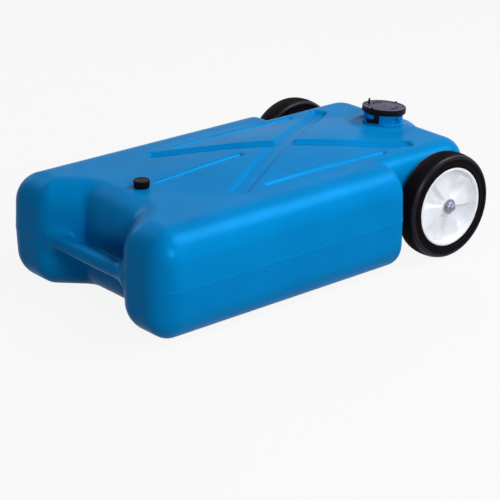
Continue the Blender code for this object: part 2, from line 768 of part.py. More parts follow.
def build_vent_cap():
    seat = bpy.data.objects.new("vent_cap_axis", None)
    seat.location = vent_seat
    parts.objects.link(seat)
    cap_top = vent_roof_at + VENT_CAP_ROOF
    bm = bmesh.new()
    bmesh.ops.create_cone(
        bm,
        cap_ends=True,
        segments=2 * VENT_KNURLS,
        radius1=VENT_CAP_RADIUS - VENT_CAP_TAPER,
        radius2=VENT_CAP_RADIUS,
        depth=cap_top - FIT,
        matrix=Matrix.Translation((0, 0, (cap_top + FIT) / 2)),
    )
    for vert in bm.verts:
        step = round(math.atan2(vert.co.y, vert.co.x) / (math.pi / VENT_KNURLS))
        if step % 2:
            radius = math.hypot(vert.co.x, vert.co.y)
            vert.co.xy *= (radius - VENT_KNURL_DEPTH) / radius
    cap = place("vent_cap", mesh_from("vent_cap", bm), black_plastic, seat)
    bore = place(
        "vent_cap_bore",
        cylinder_mesh("vent_cap_bore", VENT_STUB_RADIUS + VENT_CAP_CLEARANCE, -OVERLAP, vent_roof_at),
        parent=seat,
    )
    combine(cap, bore, "DIFFERENCE")
    gasket = [
        (VENT_STUB_RADIUS, vent_gasket_at + VENT_GASKET_THICKNESS),
        (VENT_STUB_RADIUS, vent_gasket_at),
        (VENT_STUB_BORE, vent_gasket_at),
        (VENT_STUB_BORE, vent_gasket_at + VENT_GASKET_THICKNESS),
    ]
    turned("vent_cap_gasket", gasket, SMALL_STEPS, True, material=seal_rubber, parent=seat)


def ring_profile(inner, outer, low, high):
    return [(outer, high), (outer, low), (inner, low), (inner, high)]


def tyre_profile():
    """The tyre's section: crowned tread, dropped shoulders, bulging walls and a bead in the rim's channel."""
    half = TYRE_WIDTH / 2
    tread = TREAD_WIDTH / 2
    shoulder = WHEEL_RADIUS - TYRE_SHOULDER_DROP
    rim_half = RIM_WIDTH / 2
    flange = rim_half - RIM_FLANGE
    channel = flange - RIM_CHANNEL_SLOPE
    seat = RIM_RADIUS + FIT
    bead = RIM_RADIUS - RIM_CHANNEL_DEPTH + FIT
    half_outer = [
        (WHEEL_RADIUS, 0.0),
        (WHEEL_RADIUS - TREAD_CROWN / 4, tread / 2),
        (WHEEL_RADIUS - TREAD_CROWN, tread),
        ((WHEEL_RADIUS + shoulder) / 2 + TREAD_CROWN, tread + (half - tread) * 0.6),
        (shoulder, half - TYRE_BULGE * 0.3),
        (shoulder - TYRE_SHOULDER_DROP * 0.6, half),
        (seat + TYRE_BULGE, half - TYRE_BULGE * 0.4),
        (seat, rim_half - FIT),
        (seat, flange - FIT),
        (bead, channel - FIT),
    ]
    upper = [(r, h) for r, h in reversed(half_outer[:7])]
    lower = [(r, -h) for r, h in half_outer[1:]]
    inner = [(r, h) for r, h in reversed(half_outer[7:])]
    return upper + lower + inner


def rim_profile():
    """Section of the rim: two flanges, the tyre's channel between them and the tapered barrel inside."""
    half = RIM_WIDTH / 2
    flange = half - RIM_FLANGE
    channel_radius = RIM_RADIUS - RIM_CHANNEL_DEPTH
    channel = flange - RIM_CHANNEL_SLOPE
    lip = RIM_RADIUS - BARREL_LIP
    middle = channel_radius - BARREL_WALL
    return [
        (RIM_RADIUS, half),
        (RIM_RADIUS, flange),
        (channel_radius, channel),
        (channel_radius, -channel),
        (RIM_RADIUS, -flange),
        (RIM_RADIUS, -half),
        (lip, -half),
        (middle, 0.0),
        (lip, half),
    ]


def disc_mesh(name):
    """Outer face of the wheel disc: flat petals with tapered pockets between them."""
    share = math.tau / PETALS
    rim_reach = RIM_RADIUS - RIM_CHANNEL_DEPTH - BARREL_WALL / 3
    face = RIM_WIDTH / 2
    boss_reach = HUB_BOSS_RADIUS - BUSH_WALL / 2
    radii = [boss_reach, HUB_BOSS_RADIUS + DISC_WALL, HUB_BOSS_RADIUS + POCKET_START, rim_reach]
    bm = bmesh.new()
    rows = []
    for index, radius in enumerate(radii):
        travel = (radius - boss_reach) / (rim_reach - boss_reach)
        petal = PETAL_DEPTH_AT_HUB + (PETAL_DEPTH_AT_RIM - PETAL_DEPTH_AT_HUB) * travel
        pocket = POCKET_DEPTH if index >= 2 else petal
        spread = POCKET_WALL_SPREAD / max(radius, radii[2])
        row = []
        for i in range(PETALS):
            middle = PETAL_PHASE + share * i
            edge = PETAL_ANGLE / 2
            steps = [
                (0.0, petal),
                (edge, petal),
                (edge + spread, pocket),
                (share / 2, pocket),
                (share - edge - spread, pocket),
                (share - edge, petal),
            ]
            for angle, depth in steps:
                direction = middle + angle
                place_at = (radius * math.cos(direction), radius * math.sin(direction), face - depth)
                row.append(bm.verts.new(place_at))
        rows.append(row)
    for inner, outer in zip(rows, rows[1:]):
        for i in range(len(inner)):
            j = (i + 1) % len(inner)
            bm.faces.new((inner[i], outer[i], outer[j], inner[j]))
    mesh = bpy.data.meshes.new(name)
    bm.to_mesh(mesh)
    bm.free()
    return mesh


def build_wheel(side, direction):
    """One wheel in its own frame: local Z is the axle, pointing out of the tank."""
    centre = bpy.data.objects.new(f"{side}_wheel_axis", None)
    centre.location = (along(axle_x), direction * wheel_mid_y, axle_z)
    centre.rotation_euler = (-direction * math.pi / 2, 0, 0)
    parts.objects.link(centre)

    turned(f"{side}_tyre", tyre_profile(), ROUND_STEPS, True, material=black_rubber, parent=centre)

    bush_bore = AXLE_RADIUS + FIT
    bush_outer = bush_bore + BUSH_WALL
    hub = turned(f"{side}_wheel_hub", rim_profile(), ROUND_STEPS, True, material=white_plastic, parent=centre)
    disc = place(f"{side}_disc", disc_mesh(f"{side}_disc"), parent=centre)
    skin = disc.modifiers.new("Thickness", "SOLIDIFY")
    skin.thickness = DISC_WALL
    skin.offset = -1.0
    combine(hub, disc, "UNION")
    boss = place(
        f"{side}_boss",
        cylinder_mesh(f"{side}_boss", HUB_BOSS_RADIUS, -HUB_BOSS_INBOARD, HUB_BOSS_OUTBOARD),
        parent=centre,
    )
    combine(hub, boss, "UNION")
    core = place(
        f"{side}_core",
        cylinder_mesh(
            f"{side}_core",
            AXLE_RADIUS + HUB_BOSS_CORE_CLEARANCE,
            -HUB_BOSS_INBOARD - OVERLAP,
            HUB_BOSS_OUTBOARD + OVERLAP,
        ),
        parent=centre,
    )
    combine(hub, core, "DIFFERENCE")
    seats = [
        (f"{side}_outer_seat", HUB_BOSS_OUTBOARD - BUSH_LENGTH - FIT, HUB_BOSS_OUTBOARD + OVERLAP),
        (f"{side}_inner_seat", -HUB_BOSS_INBOARD - OVERLAP, -HUB_BOSS_INBOARD + BUSH_LENGTH + FIT),
    ]
    for name, low, high in seats:
        bush_seat = cylinder_mesh(name, bush_outer + FIT, low, high)
        combine(hub, place(name, bush_seat, parent=centre), "DIFFERENCE")

    face = HUB_BOSS_OUTBOARD + FIT
    outer_bush = [
        (BUSH_FLANGE_RADIUS, face + BUSH_FLANGE),
        (BUSH_FLANGE_RADIUS, face),
        (bush_outer, face),
        (bush_outer, HUB_BOSS_OUTBOARD - BUSH_LENGTH),
        (bush_bore, HUB_BOSS_OUTBOARD - BUSH_LENGTH),
        (bush_bore, face + BUSH_FLANGE),
    ]
    turned(f"{side}_outer_bush", outer_bush, BUSH_STEPS, True, material=bush_plastic, parent=centre)
    back = -HUB_BOSS_INBOARD - FIT
    inner_bush = [
        (bush_outer, -HUB_BOSS_INBOARD + BUSH_LENGTH),
        (bush_outer, back),
        (BUSH_FLANGE_RADIUS, back),
        (BUSH_FLANGE_RADIUS, back - BUSH_FLANGE),
        (bush_bore, back - BUSH_FLANGE),
        (bush_bore, -HUB_BOSS_INBOARD + BUSH_LENGTH),
    ]
    turned(f"{side}_inner_bush", inner_bush, BUSH_STEPS, True, material=bush_plastic, parent=centre)

    washer_back = back - BUSH_FLANGE - FIT - WASHER_THICKNESS
    for name, low in (("outer_washer", outer_washer_at), ("inner_washer", washer_back)):
        washer = ring_profile(AXLE_RADIUS + FIT, WASHER_RADIUS, low, low + WASHER_THICKNESS)
        turned(f"{side}_{name}", washer, SMALL_STEPS, True, material=zinc_steel, parent=centre)
    nut_top = nut_at + NUT_HEIGHT
    nut = [
        (NUT_RADIUS - NUT_CROWN, nut_top),
        (NUT_RADIUS - NUT_CROWN / 3, nut_top - NUT_CROWN / 3),
        (NUT_RADIUS, nut_top - NUT_CROWN),
        (NUT_RADIUS, nut_at),
        (AXLE_RADIUS + FIT, nut_at),
        (AXLE_RADIUS + FIT, nut_top),
    ]
    turned(f"{side}_axle_nut", nut, SMALL_STEPS, True, material=zinc_steel, parent=centre)


def build_axle():
    centre = (along(axle_x), 0, axle_z)
    across = (-math.pi / 2, 0, 0)
    profile = [
        (0.0, axle_half),
        (AXLE_RADIUS - AXLE_CHAMFER, axle_half),
        (AXLE_RADIUS, axle_half - AXLE_CHAMFER),
        (AXLE_RADIUS, -axle_half + AXLE_CHAMFER),
        (AXLE_RADIUS - AXLE_CHAMFER, -axle_half),
        (0.0, -axle_half),
    ]
    axle = turned("axle", profile, SMALL_STEPS, False, material=zinc_steel, location=centre, rotation=across)
    for name, direction in (("slot_left", -1), ("slot_right", 1)):
        floor = direction * (axle_half - AXLE_SLOT_DEPTH)
        clear = direction * (axle_half + OVERLAP)
        slot = box_mesh(
            name,
            (-2 * AXLE_RADIUS, -AXLE_SLOT_WIDTH / 2, min(floor, clear)),
            (2 * AXLE_RADIUS, AXLE_SLOT_WIDTH / 2, max(floor, clear)),
        )
        combine(axle, place(name, slot, location=centre, rotation=across), "DIFFERENCE")


build_tank()
build_drain_cap()
build_vent_cap()
for wheel_side, wheel_direction in (("left", -1), ("right", 1)):
    build_wheel(wheel_side, wheel_direction)
build_axle()
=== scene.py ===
"""Looks of the portable waste water tank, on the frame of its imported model.

Metres, +Z up. The tank lies with its handle end at -X and its wheels at +X, centred on its length, and
left is the -Y side. The tank's skin is the zero surface of a field that follows the moulded body, so that
its rounded edges run smoothly into each other.
"""
import json
import math

import bmesh
import bpy
import numpy as np
from mathutils import Matrix, Vector


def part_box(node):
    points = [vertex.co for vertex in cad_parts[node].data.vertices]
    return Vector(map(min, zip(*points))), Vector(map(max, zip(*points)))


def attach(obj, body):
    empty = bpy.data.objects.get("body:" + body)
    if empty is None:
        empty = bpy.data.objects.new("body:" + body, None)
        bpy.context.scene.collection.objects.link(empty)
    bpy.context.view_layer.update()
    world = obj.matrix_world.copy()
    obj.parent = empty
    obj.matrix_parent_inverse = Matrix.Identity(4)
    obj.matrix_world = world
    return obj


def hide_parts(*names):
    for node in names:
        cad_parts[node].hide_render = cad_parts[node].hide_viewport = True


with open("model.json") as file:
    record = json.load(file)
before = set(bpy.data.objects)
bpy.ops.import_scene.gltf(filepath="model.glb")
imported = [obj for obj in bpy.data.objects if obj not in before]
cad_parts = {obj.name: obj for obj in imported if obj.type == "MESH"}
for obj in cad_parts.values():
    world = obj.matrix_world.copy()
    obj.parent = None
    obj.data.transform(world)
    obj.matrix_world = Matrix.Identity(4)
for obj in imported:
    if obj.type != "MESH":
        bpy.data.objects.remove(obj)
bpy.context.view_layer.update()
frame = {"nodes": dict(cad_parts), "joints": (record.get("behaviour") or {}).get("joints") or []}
joints = {joint["name"]: joint for joint in frame["joints"]}

# Sizes taken from the frame
tank_low, tank_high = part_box("tank_shell")
handle_end = tank_low.x
wheel_end = tank_high.x
half_width = tank_high.y
wheel_centre = Vector(joints["right_wheel_spin"]["pos_m"])
wheel_radius = wheel_centre.z

# Moulded body
MID_HEIGHT = 0.102
DRAFT = math.tan(math.radians(2.5))
EDGE_RADIUS = 0.054
LOBE_OUTER_RADIUS = 0.050
MOUTH_RADIUS = 0.050
RECESS_CORNER_RADIUS = 0.013
WHEEL_END_RADIUS = 0.050
WAIST_EDGE_RADIUS = 0.038
RECESS_DEPTH = 0.057
RECESS_MOUTH = 0.1215
HALF_WAIST = 0.1845
STEP_X = 0.1789
STEP_RADIUS = 0.022
STEP_EDGE_RADIUS = 0.014
STEP_INNER_RADIUS = 0.010
STEP_FILLET_DEPTH = 0.020
WAIST_UNDERSIDE = 0.040
WAIST_UNDER_RADIUS = 0.050
WAIST_START = -0.20
AXLE_BOSS_RADIUS = 0.018
AXLE_BOSS_FACE = 0.1853

# Outline corners that lie inside the body, and a fillet's reach as a share of its radius
BURIED_CORNER_RADIUS = 0.001
FILLET_REACH = 1.17

# Top skin
TOP_AT_HANDLE_END = 0.205
TOP_AT_WHEEL_END = 0.199
PILLOW_RISE = 0.013
PILLOW_X = 0.043
PILLOW_HALF_LENGTH = 0.300
PILLOW_HALF_WIDTH = 0.165
PILLOW_TAPER = 0.10
PILLOW_POWER = 1.5

# Channels in the top: middle, angle, length, width, corner radius and depth
CROSS_X = 0.070
CROSS_ANGLE = math.radians(31.0)
CROSS_SIZE = (0.506, 0.036, 0.0130, 0.0072)
SIDE_GROOVE_X = 0.0655
SIDE_GROOVE_Y = 0.1325
SIDE_GROOVE_SIZE = (0.299, 0.0140, 0.0060, 0.0052)
CENTRE_GROOVE_X = -0.1245
CENTRE_GROOVE_SIZE = (0.207, 0.0140, 0.0060, 0.0052)
CHANNELS = (
    (CROSS_X, 0.0, CROSS_ANGLE, *CROSS_SIZE),
    (CROSS_X, 0.0, -CROSS_ANGLE, *CROSS_SIZE),
    (SIDE_GROOVE_X, -SIDE_GROOVE_Y, 0.0, *SIDE_GROOVE_SIZE),
    (SIDE_GROOVE_X, SIDE_GROOVE_Y, 0.0, *SIDE_GROOVE_SIZE),
    (CENTRE_GROOVE_X, 0.0, 0.0, *CENTRE_GROOVE_SIZE),
)
CHANNEL_LIP = 0.0004
CHANNEL_WALL = 0.0056

# Handle bar
BAR_X = handle_end + 0.0225
BAR_RADIUS = 0.0145
BAR_REACH = 0.110
BAR_BLEND = 0.016

# Parting ridge of the mould
RIDGE_HEIGHT = 0.0005
RIDGE_HALF_WIDTH = 0.0012

# Neck and its seat
NECK_TILT = math.radians(5.5)
NECK_X = wheel_end - 0.064
SEAT_RADIUS = 0.0645
SEAT_ROUNDING = 0.011
SEAT_BLEND = 0.007
NECK_RADIUS = 0.038
NECK_WALL = 0.004
NECK_HEIGHT = 0.0264
VENT_X = handle_end + 0.1395
VENT_BORE = 0.0060
VENT_WELL_CLEARANCE = 0.0015

# Grid of the field: its steps, and where they are fine
FINE = 0.0022
COARSE = 0.0032
HEIGHT_STEP = 0.0050
FINE_X = (-0.245, 0.255)
FINE_Y = 0.152
FINE_FROM = 0.166
FIELD_TOP = 0.226
MARGIN = 0.003
RIDGE_STEPS = (-1.6, -1, -0.5, 0, 0.5, 1, 1.6)

# Lengths too short to count, and one longer than any here
TINY = 1e-9
LEVEL = 1e-12
ON_AXIS = 1e-7
FAR_AWAY = 1e9


def top_height(x, y):
    """Height of the top's skin over the ground, channels left out."""
    travel = (x - handle_end) / (wheel_end - handle_end)
    plane = TOP_AT_HANDLE_END + (TOP_AT_WHEEL_END - TOP_AT_HANDLE_END) * travel
    pillow_half_width = PILLOW_HALF_WIDTH - PILLOW_TAPER * (x - PILLOW_X)
    reach = ((x - PILLOW_X) / PILLOW_HALF_LENGTH) ** 2 + (y / pillow_half_width) ** 2
    return plane + PILLOW_RISE * np.maximum(1.0 - reach, 0.0) ** PILLOW_POWER


neck_seat = Vector((NECK_X, 0, float(top_height(NECK_X, 0.0))))
vent_seat = Vector((VENT_X, 0, float(top_height(VENT_X, 0.0))))
neck_frame = Matrix.Translation(neck_seat) @ Matrix.Rotation(NECK_TILT, 4, "Y")
vent_frame = Matrix.Translation(vent_seat)


def wheel_frame(direction):
    """Local Z is the axle, pointing out of the tank."""
    place = Matrix.Translation((wheel_centre.x, direction * wheel_centre.y, wheel_centre.z))
    return place @ Matrix.Rotation(-direction * math.pi / 2, 4, "X")


# Fields: negative inside


def smooth(value):
    """Ease from 0 to 1, level at both ends."""
    value = np.clip(value, 0.0, 1.0)
    return value * value * (3.0 - 2.0 * value)


def both(a, b, radius):
    """Inside both fields, with a round edge where they meet."""
    rounded = np.hypot(np.maximum(a + radius, 0), np.maximum(b + radius, 0))
    return np.minimum(np.maximum(a, b), -radius) + rounded


def either(a, b, radius):
    """Inside one field or the other, with a fillet of about this radius where they meet."""
    reach = FILLET_REACH * radius + TINY
    return np.minimum(a, b) - np.maximum(reach - np.abs(a - b), 0) ** 2 / (4 * reach)


def rounded_corners(corners, steps=10):
    """An anticlockwise outline of (x, y, radius) corners as points."""
    outline = []
    for i, (x, y, radius) in enumerate(corners):
        here = Vector((x, y))
        back = (Vector(corners[i - 1][:2]) - here).normalized()
        ahead = (Vector(corners[(i + 1) % len(corners)][:2]) - here).normalized()
        half = back.angle(ahead) / 2
        start = here + back * (radius / math.tan(half))
        centre = here + (back + ahead).normalized() * (radius / math.sin(half))
        sweep = math.pi - 2 * half
        if back.x * ahead.y - back.y * ahead.x > 0:
            sweep = -sweep
        for k in range(steps + 1):
            outline.append(centre + Matrix.Rotation(sweep * k / steps, 2) @ (start - centre))
    return outline


def outline_distance(outline, x, y):
    """Signed distance of places to an outline, negative inside."""
    nearest = np.full(np.broadcast(x, y).shape, FAR_AWAY)
    crossings = np.zeros(nearest.shape, int)
    for i, end in enumerate(outline):
        start = outline[i - 1]
        run = end - start
        if run.length < TINY:
            continue
        share = np.clip(((x - start.x) * run.x + (y - start.y) * run.y) / run.length_squared, 0, 1)
        apart = np.hypot(x - start.x - share * run.x, y - start.y - share * run.y)
        nearest = np.minimum(nearest, apart)
        if abs(run.y) > LEVEL:
            spans = (y >= min(start.y, end.y)) & (y < max(start.y, end.y))
            crossings += spans & (start.x + (y - start.y) / run.y * run.x > x)
    return np.where(crossings % 2 == 1, -nearest, nearest)


def channel_depth(x, y):
    """How far the channels go under the top's skin."""
    depth = np.zeros(np.broadcast(x, y).shape)
    for middle_x, middle_y, angle, length, width, corner, deep in CHANNELS:
        along = (x - middle_x) * math.cos(angle) + (y - middle_y) * math.sin(angle)
        aside = (y - middle_y) * math.cos(angle) - (x - middle_x) * math.sin(angle)
        over_end = np.abs(along) - (length / 2 - corner)
        over_side = np.abs(aside) - (width / 2 - corner)
        edge = np.hypot(np.maximum(over_end, 0), np.maximum(over_side, 0)) - corner
        edge += np.minimum(np.maximum(over_end, over_side), 0)
        wall = min(CHANNEL_WALL, width / 2)
        depth = np.maximum(depth, deep * smooth((CHANNEL_LIP - edge) / (wall + CHANNEL_LIP)))
    return depth


def tank_field(x, y, z):
    """The body with its handle bar, the seat of its neck and the wells of neck and vent."""
    recess_back = RECESS_MOUTH - RECESS_DEPTH
    far = wheel_end + EDGE_RADIUS
    lobes = rounded_corners(
        (
            (handle_end + RECESS_DEPTH, -recess_back, RECESS_CORNER_RADIUS),
            (handle_end, -RECESS_MOUTH, MOUTH_RADIUS),
            (handle_end, -half_width, LOBE_OUTER_RADIUS),
            (far, -half_width, BURIED_CORNER_RADIUS),
            (far, half_width, BURIED_CORNER_RADIUS),
            (handle_end, half_width, LOBE_OUTER_RADIUS),
            (handle_end, RECESS_MOUTH, MOUTH_RADIUS),
            (handle_end + RECESS_DEPTH, recess_back, RECESS_CORNER_RADIUS),
        )
    )
    waist = rounded_corners(
        (
            (WAIST_START, -HALF_WAIST, BURIED_CORNER_RADIUS),
            (wheel_end, -HALF_WAIST, WHEEL_END_RADIUS),
            (wheel_end, HALF_WAIST, WHEEL_END_RADIUS),
            (WAIST_START, HALF_WAIST, BURIED_CORNER_RADIUS),
        )
    )
    lean = np.abs(z - MID_HEIGHT) * DRAFT + RIDGE_HEIGHT
    under_top = z - (top_height(x, y) - channel_depth(x, y))

    lobe_side = outline_distance(lobes, x, y) + lean
    body = both(lobe_side, np.maximum(under_top, -z), EDGE_RADIUS)
    from_middle = smooth(np.abs(z - MID_HEIGHT) / (MID_HEIGHT - STEP_EDGE_RADIUS))
    step_radius = STEP_RADIUS + (STEP_EDGE_RADIUS - STEP_RADIUS) * from_middle
    body = both(body, x - STEP_X + lean, step_radius)

    waist_side = outline_distance(waist, x, y) + lean
    upper = both(waist_side, under_top, WAIST_EDGE_RADIUS)
    lower = both(waist_side, WAIST_UNDERSIDE - z, WAIST_UNDER_RADIUS)
    fillet = STEP_INNER_RADIUS * np.clip(-under_top / STEP_FILLET_DEPTH, 0.0, 1.0) ** 2
    body = either(body, np.maximum(upper, lower), fillet)

    axle_boss = np.hypot(x - wheel_centre.x, z - wheel_centre.z) - AXLE_BOSS_RADIUS
    body = np.minimum(body, np.maximum(axle_boss, np.abs(y) - AXLE_BOSS_FACE))

    bar = np.maximum(np.hypot(x - BAR_X, z - MID_HEIGHT) - BAR_RADIUS, np.abs(y) - BAR_REACH)
    body = either(body, bar, BAR_BLEND)

    rise = (x - neck_seat.x) * math.sin(NECK_TILT) + (z - neck_seat.z) * math.cos(NECK_TILT)
    across = (x - neck_seat.x) * math.cos(NECK_TILT) - (z - neck_seat.z) * math.sin(NECK_TILT)
    from_axis = np.hypot(across, y)
    seat = both(from_axis - SEAT_RADIUS, rise, SEAT_ROUNDING)
    seat = np.maximum(seat, -rise - EDGE_RADIUS)
    body = either(body, seat, SEAT_BLEND * smooth((from_axis - NECK_RADIUS) / SEAT_ROUNDING))
    neck_well = np.maximum(from_axis - (NECK_RADIUS - NECK_WALL / 2), -rise - EDGE_RADIUS)
    body = np.maximum(body, -neck_well)
    from_vent = np.hypot(x - vent_seat.x, y) - VENT_BORE - VENT_WELL_CLEARANCE
    vent_well = np.maximum(from_vent, vent_seat.z - EDGE_RADIUS - z)
    body = np.maximum(body, -vent_well)

    ridge = np.clip(1.0 - np.abs(z - MID_HEIGHT) / RIDGE_HALF_WIDTH, 0.0, 1.0)
    return body - RIDGE_HEIGHT * smooth(ridge)


def spaced(start, end, step):
    """Even places from the start up to the end, which is left out, about a step apart."""
    count = max(round((end - start) / step), 1)
    return [start + (end - start) * k / count for k in range(count)]


def surface_of(field, xs, ys, zs):
    """Mesh of the field's zero surface: one vertex in each cell of the grid that it crosses."""
    inside = field < 0
    corners = [(i, j, k) for i in (0, 1) for j in (0, 1) for k in (0, 1)]
    shape = tuple(size - 1 for size in field.shape)

    def shifted(values, i, j, k):
        return values[i : i + shape[0], j : j + shape[1], k : k + shape[2]]

    count = sum(shifted(inside, *corner).astype(np.int8) for corner in corners)
    crossed = np.argwhere((count > 0) & (count < 8))
    numbers = np.full(shape, -1, np.int32)
    numbers[tuple(crossed.T)] = np.arange(len(crossed))
    values = {corner: field[tuple((crossed + corner).T)] for corner in corners}
    axes = (xs, ys, zs)
    places = {
        corner: np.stack([axes[a][crossed[:, a] + corner[a]] for a in range(3)], 1) for corner in corners
    }
    total = np.zeros((len(crossed), 3))
    hits = np.zeros(len(crossed))
    for low in corners:
        for axis in range(3):
            if low[axis]:
                continue
            high = tuple(1 if a == axis else low[a] for a in range(3))
            a, b = values[low], values[high]
            cut = (a < 0) != (b < 0)
            share = np.where(cut, a / np.where(cut, a - b, 1.0), 0.0)
            point = places[low] + share[:, None] * (places[high] - places[low])
            total += np.where(cut[:, None], point, 0.0)
            hits += cut
    points = total / hits[:, None]

    faces = []
    for axis in range(3):
        b_axis, c_axis = (axis + 1) % 3, (axis + 2) % 3
        step = [0, 0, 0]
        step[axis] = 1
        low = [slice(None)] * 3
        high = [slice(None)] * 3
        low[axis], high[axis] = slice(0, -1), slice(1, None)
        change = inside[tuple(low)].astype(np.int8) - inside[tuple(high)].astype(np.int8)
        where = np.argwhere(change != 0)
        leaving = change[tuple(where.T)] > 0
        around = []
        for b, c in ((-1, -1), (0, -1), (0, 0), (-1, 0)):
            cell = where.copy()
            cell[:, b_axis] += b
            cell[:, c_axis] += c
            around.append(numbers[tuple(cell.T)])
        quads = np.stack(around, 1)
        quads[~leaving] = quads[~leaving][:, ::-1]
        faces.append(quads)
    return points, np.concatenate(faces)


def tank_skin_mesh():
    """The field is worked out for one side and mirrored."""
    fine_start, fine_end = FINE_X
    xs = spaced(handle_end - MARGIN, fine_start, COARSE) + spaced(fine_start, fine_end, FINE)
    xs = np.array(xs + spaced(fine_end, wheel_end + MARGIN, COARSE) + [wheel_end + MARGIN])
    half = spaced(FINE / 2, FINE_Y, FINE)
    half += spaced(FINE_Y, half_width + MARGIN, COARSE) + [half_width + MARGIN]
    ridge = [MID_HEIGHT + RIDGE_HALF_WIDTH * share for share in RIDGE_STEPS]
    zs = spaced(-MARGIN, ridge[0] - MARGIN, HEIGHT_STEP) + [ridge[0] - MARGIN] + ridge
    zs += spaced(ridge[-1] + MARGIN, FINE_FROM, HEIGHT_STEP)
    zs = np.array(zs + spaced(FINE_FROM, FIELD_TOP, FINE))
    half_field = tank_field(xs[:, None, None], np.array(half)[None, :, None], zs[None, None, :])
    field = np.concatenate((half_field[:, ::-1, :], half_field), 1)
    ys = np.array([-y for y in reversed(half)] + half)
    points, faces = surface_of(field, xs, ys, zs)
    mesh = bpy.data.meshes.new("tank_skin")
    mesh.vertices.add(len(points))
    mesh.vertices.foreach_set("co", points.astype(np.float32).ravel())
    mesh.loops.add(faces.size)
    mesh.loops.foreach_set("vertex_index", faces.ravel())
    mesh.polygons.add(len(faces))
    mesh.polygons.foreach_set("loop_start", np.arange(0, faces.size, 4, dtype=np.int32))
    mesh.update(calc_edges=True)
    return mesh


# Materials

# Noise values that the two ends of a change lie at
NOISE_LOW = 0.3
NOISE_HIGH = 0.7


class Graph:
    """Short names for building a material's nodes."""

    def __init__(self, name, colour, roughness, metallic=0.0, specular=0.5):
        self.material = bpy.data.materials.new(name)
        self.material.use_nodes = True
        self.tree = self.material.node_tree
        self.shader = self.tree.nodes["Principled BSDF"]
        self.shader.inputs["Base Color"].default_value = (*colour, 1.0)
        self.shader.inputs["Roughness"].default_value = roughness
        self.shader.inputs["Metallic"].default_value = metallic
        self.shader.inputs["Specular IOR Level"].default_value = specular
        self.place = self.tree.nodes.new("ShaderNodeTexCoord").outputs["Object"]

    def noise(self, scale, detail=3.0):
        node = self.tree.nodes.new("ShaderNodeTexNoise")
        node.inputs["Scale"].default_value = scale
        node.inputs["Detail"].default_value = detail
        self.tree.links.new(self.place, node.inputs["Vector"])
        return node.outputs["Fac"]

    def vary_colour(self, value, first, second):
        node = self.tree.nodes.new("ShaderNodeValToRGB")
        node.color_ramp.elements[0].position = NOISE_LOW
        node.color_ramp.elements[0].color = (*first, 1.0)
        node.color_ramp.elements[1].position = NOISE_HIGH
        node.color_ramp.elements[1].color = (*second, 1.0)
        self.tree.links.new(value, node.inputs["Fac"])
        self.tree.links.new(node.outputs["Color"], self.shader.inputs["Base Color"])

    def vary_roughness(self, value, low, high):
        node = self.tree.nodes.new("ShaderNodeMapRange")
        node.inputs["From Min"].default_value = NOISE_LOW
        node.inputs["From Max"].default_value = NOISE_HIGH
        node.inputs["To Min"].default_value = low
        node.inputs["To Max"].default_value = high
        self.tree.links.new(value, node.inputs["Value"])
        self.tree.links.new(node.outputs["Result"], self.shader.inputs["Roughness"])

    def bumps(self, *layers):
        """Each layer is a height and how far it stands out."""
        normal = None
        for height, distance in layers:
            node = self.tree.nodes.new("ShaderNodeBump")
            node.inputs["Distance"].default_value = distance
            self.tree.links.new(height, node.inputs["Height"])
            if normal:
                self.tree.links.new(normal, node.inputs["Normal"])
            normal = node.outputs["Normal"]
        self.tree.links.new(normal, self.shader.inputs["Normal"])


def shaded(colour, share):
    return tuple(channel * share for channel in colour)


def moulded_blue():
    colour = (0.0005, 0.215, 0.535)
    graph = Graph("blue_polyethylene", colour, 0.32, metallic=0.06, specular=0.02)
    graph.shader.inputs["Specular Tint"].default_value = (0.30, 0.85, 1.0, 1.0)
    graph.vary_colour(graph.noise(9.0, 4.0), shaded(colour, 0.93), shaded(colour, 1.05))
    graph.vary_roughness(graph.noise(60.0, 5.0), 0.29, 0.36)
    graph.bumps((graph.noise(20.0, 1.0), 0.0003), (graph.noise(420.0, 1.0), 0.00002))
    return graph.material


def moulded_plastic(name, colour, roughness, tint=1.06, specular=0.5):
    graph = Graph(name, colour, roughness, specular=specular)
    graph.vary_colour(graph.noise(40.0, 4.0), shaded(colour, 0.94), shaded(colour, tint))
    graph.vary_roughness(graph.noise(160.0, 5.0), roughness - 0.05, roughness + 0.06)
    graph.bumps((graph.noise(70.0, 2.0), 0.0002), (graph.noise(1600.0, 2.0), 0.00003))
    return graph.material


def rubber(name, colour, roughness, specular=0.05):
    graph = Graph(name, colour, roughness, specular=specular)
    graph.vary_colour(graph.noise(55.0, 6.0), shaded(colour, 0.75), shaded(colour, 1.5))
    graph.vary_roughness(graph.noise(120.0, 5.0), roughness - 0.08, roughness + 0.10)
    graph.bumps((graph.noise(1200.0, 3.0), 0.00006))
    return graph.material


def plated_steel():
    colour = (0.30, 0.31, 0.39)
    graph = Graph("zinc_plated_steel", colour, 0.34, 1.0)
    graph.vary_colour(graph.noise(300.0, 4.0), shaded(colour, 0.75), shaded(colour, 1.25))
    graph.vary_roughness(graph.noise(500.0, 5.0), 0.26, 0.46)
    graph.bumps((graph.noise(900.0, 3.0), 0.00004))
    return graph.material


blue = moulded_blue()
black = moulded_plastic("black_plastic", (0.004, 0.003, 0.005), 0.50, specular=0.08)
# Paler bluish black for the drain cap's upward faces: painted sheen, the reflection of the overhead light
# laid into the colour
cap_painted_sheen = moulded_plastic("black_plastic_painted_sheen", (0.070, 0.066, 0.108), 0.55, specular=0.15)
white = moulded_plastic("white_plastic", (0.86, 0.87, 0.90), 0.42, 1.02, specular=0.3)
nylon = moulded_plastic("bush_nylon", (0.55, 0.53, 0.46), 0.45)
tyre_rubber = rubber("black_rubber", (0.0040, 0.0025, 0.0042), 0.45, specular=0.03)
# Glossier rubber for the tyre's shoulder ridge: its gloss is real, and its bluish tint is painted sheen
# that stands in for the ridge's bluish highlight
ridge_rubber_painted_sheen = rubber("black_rubber_ridge_painted_sheen", (0.004, 0.0035, 0.008), 0.30, specular=0.14)
seal_rubber = rubber("seal_rubber", (0.02, 0.02, 0.02), 0.70)
steel = plated_steel()

# Mesh building

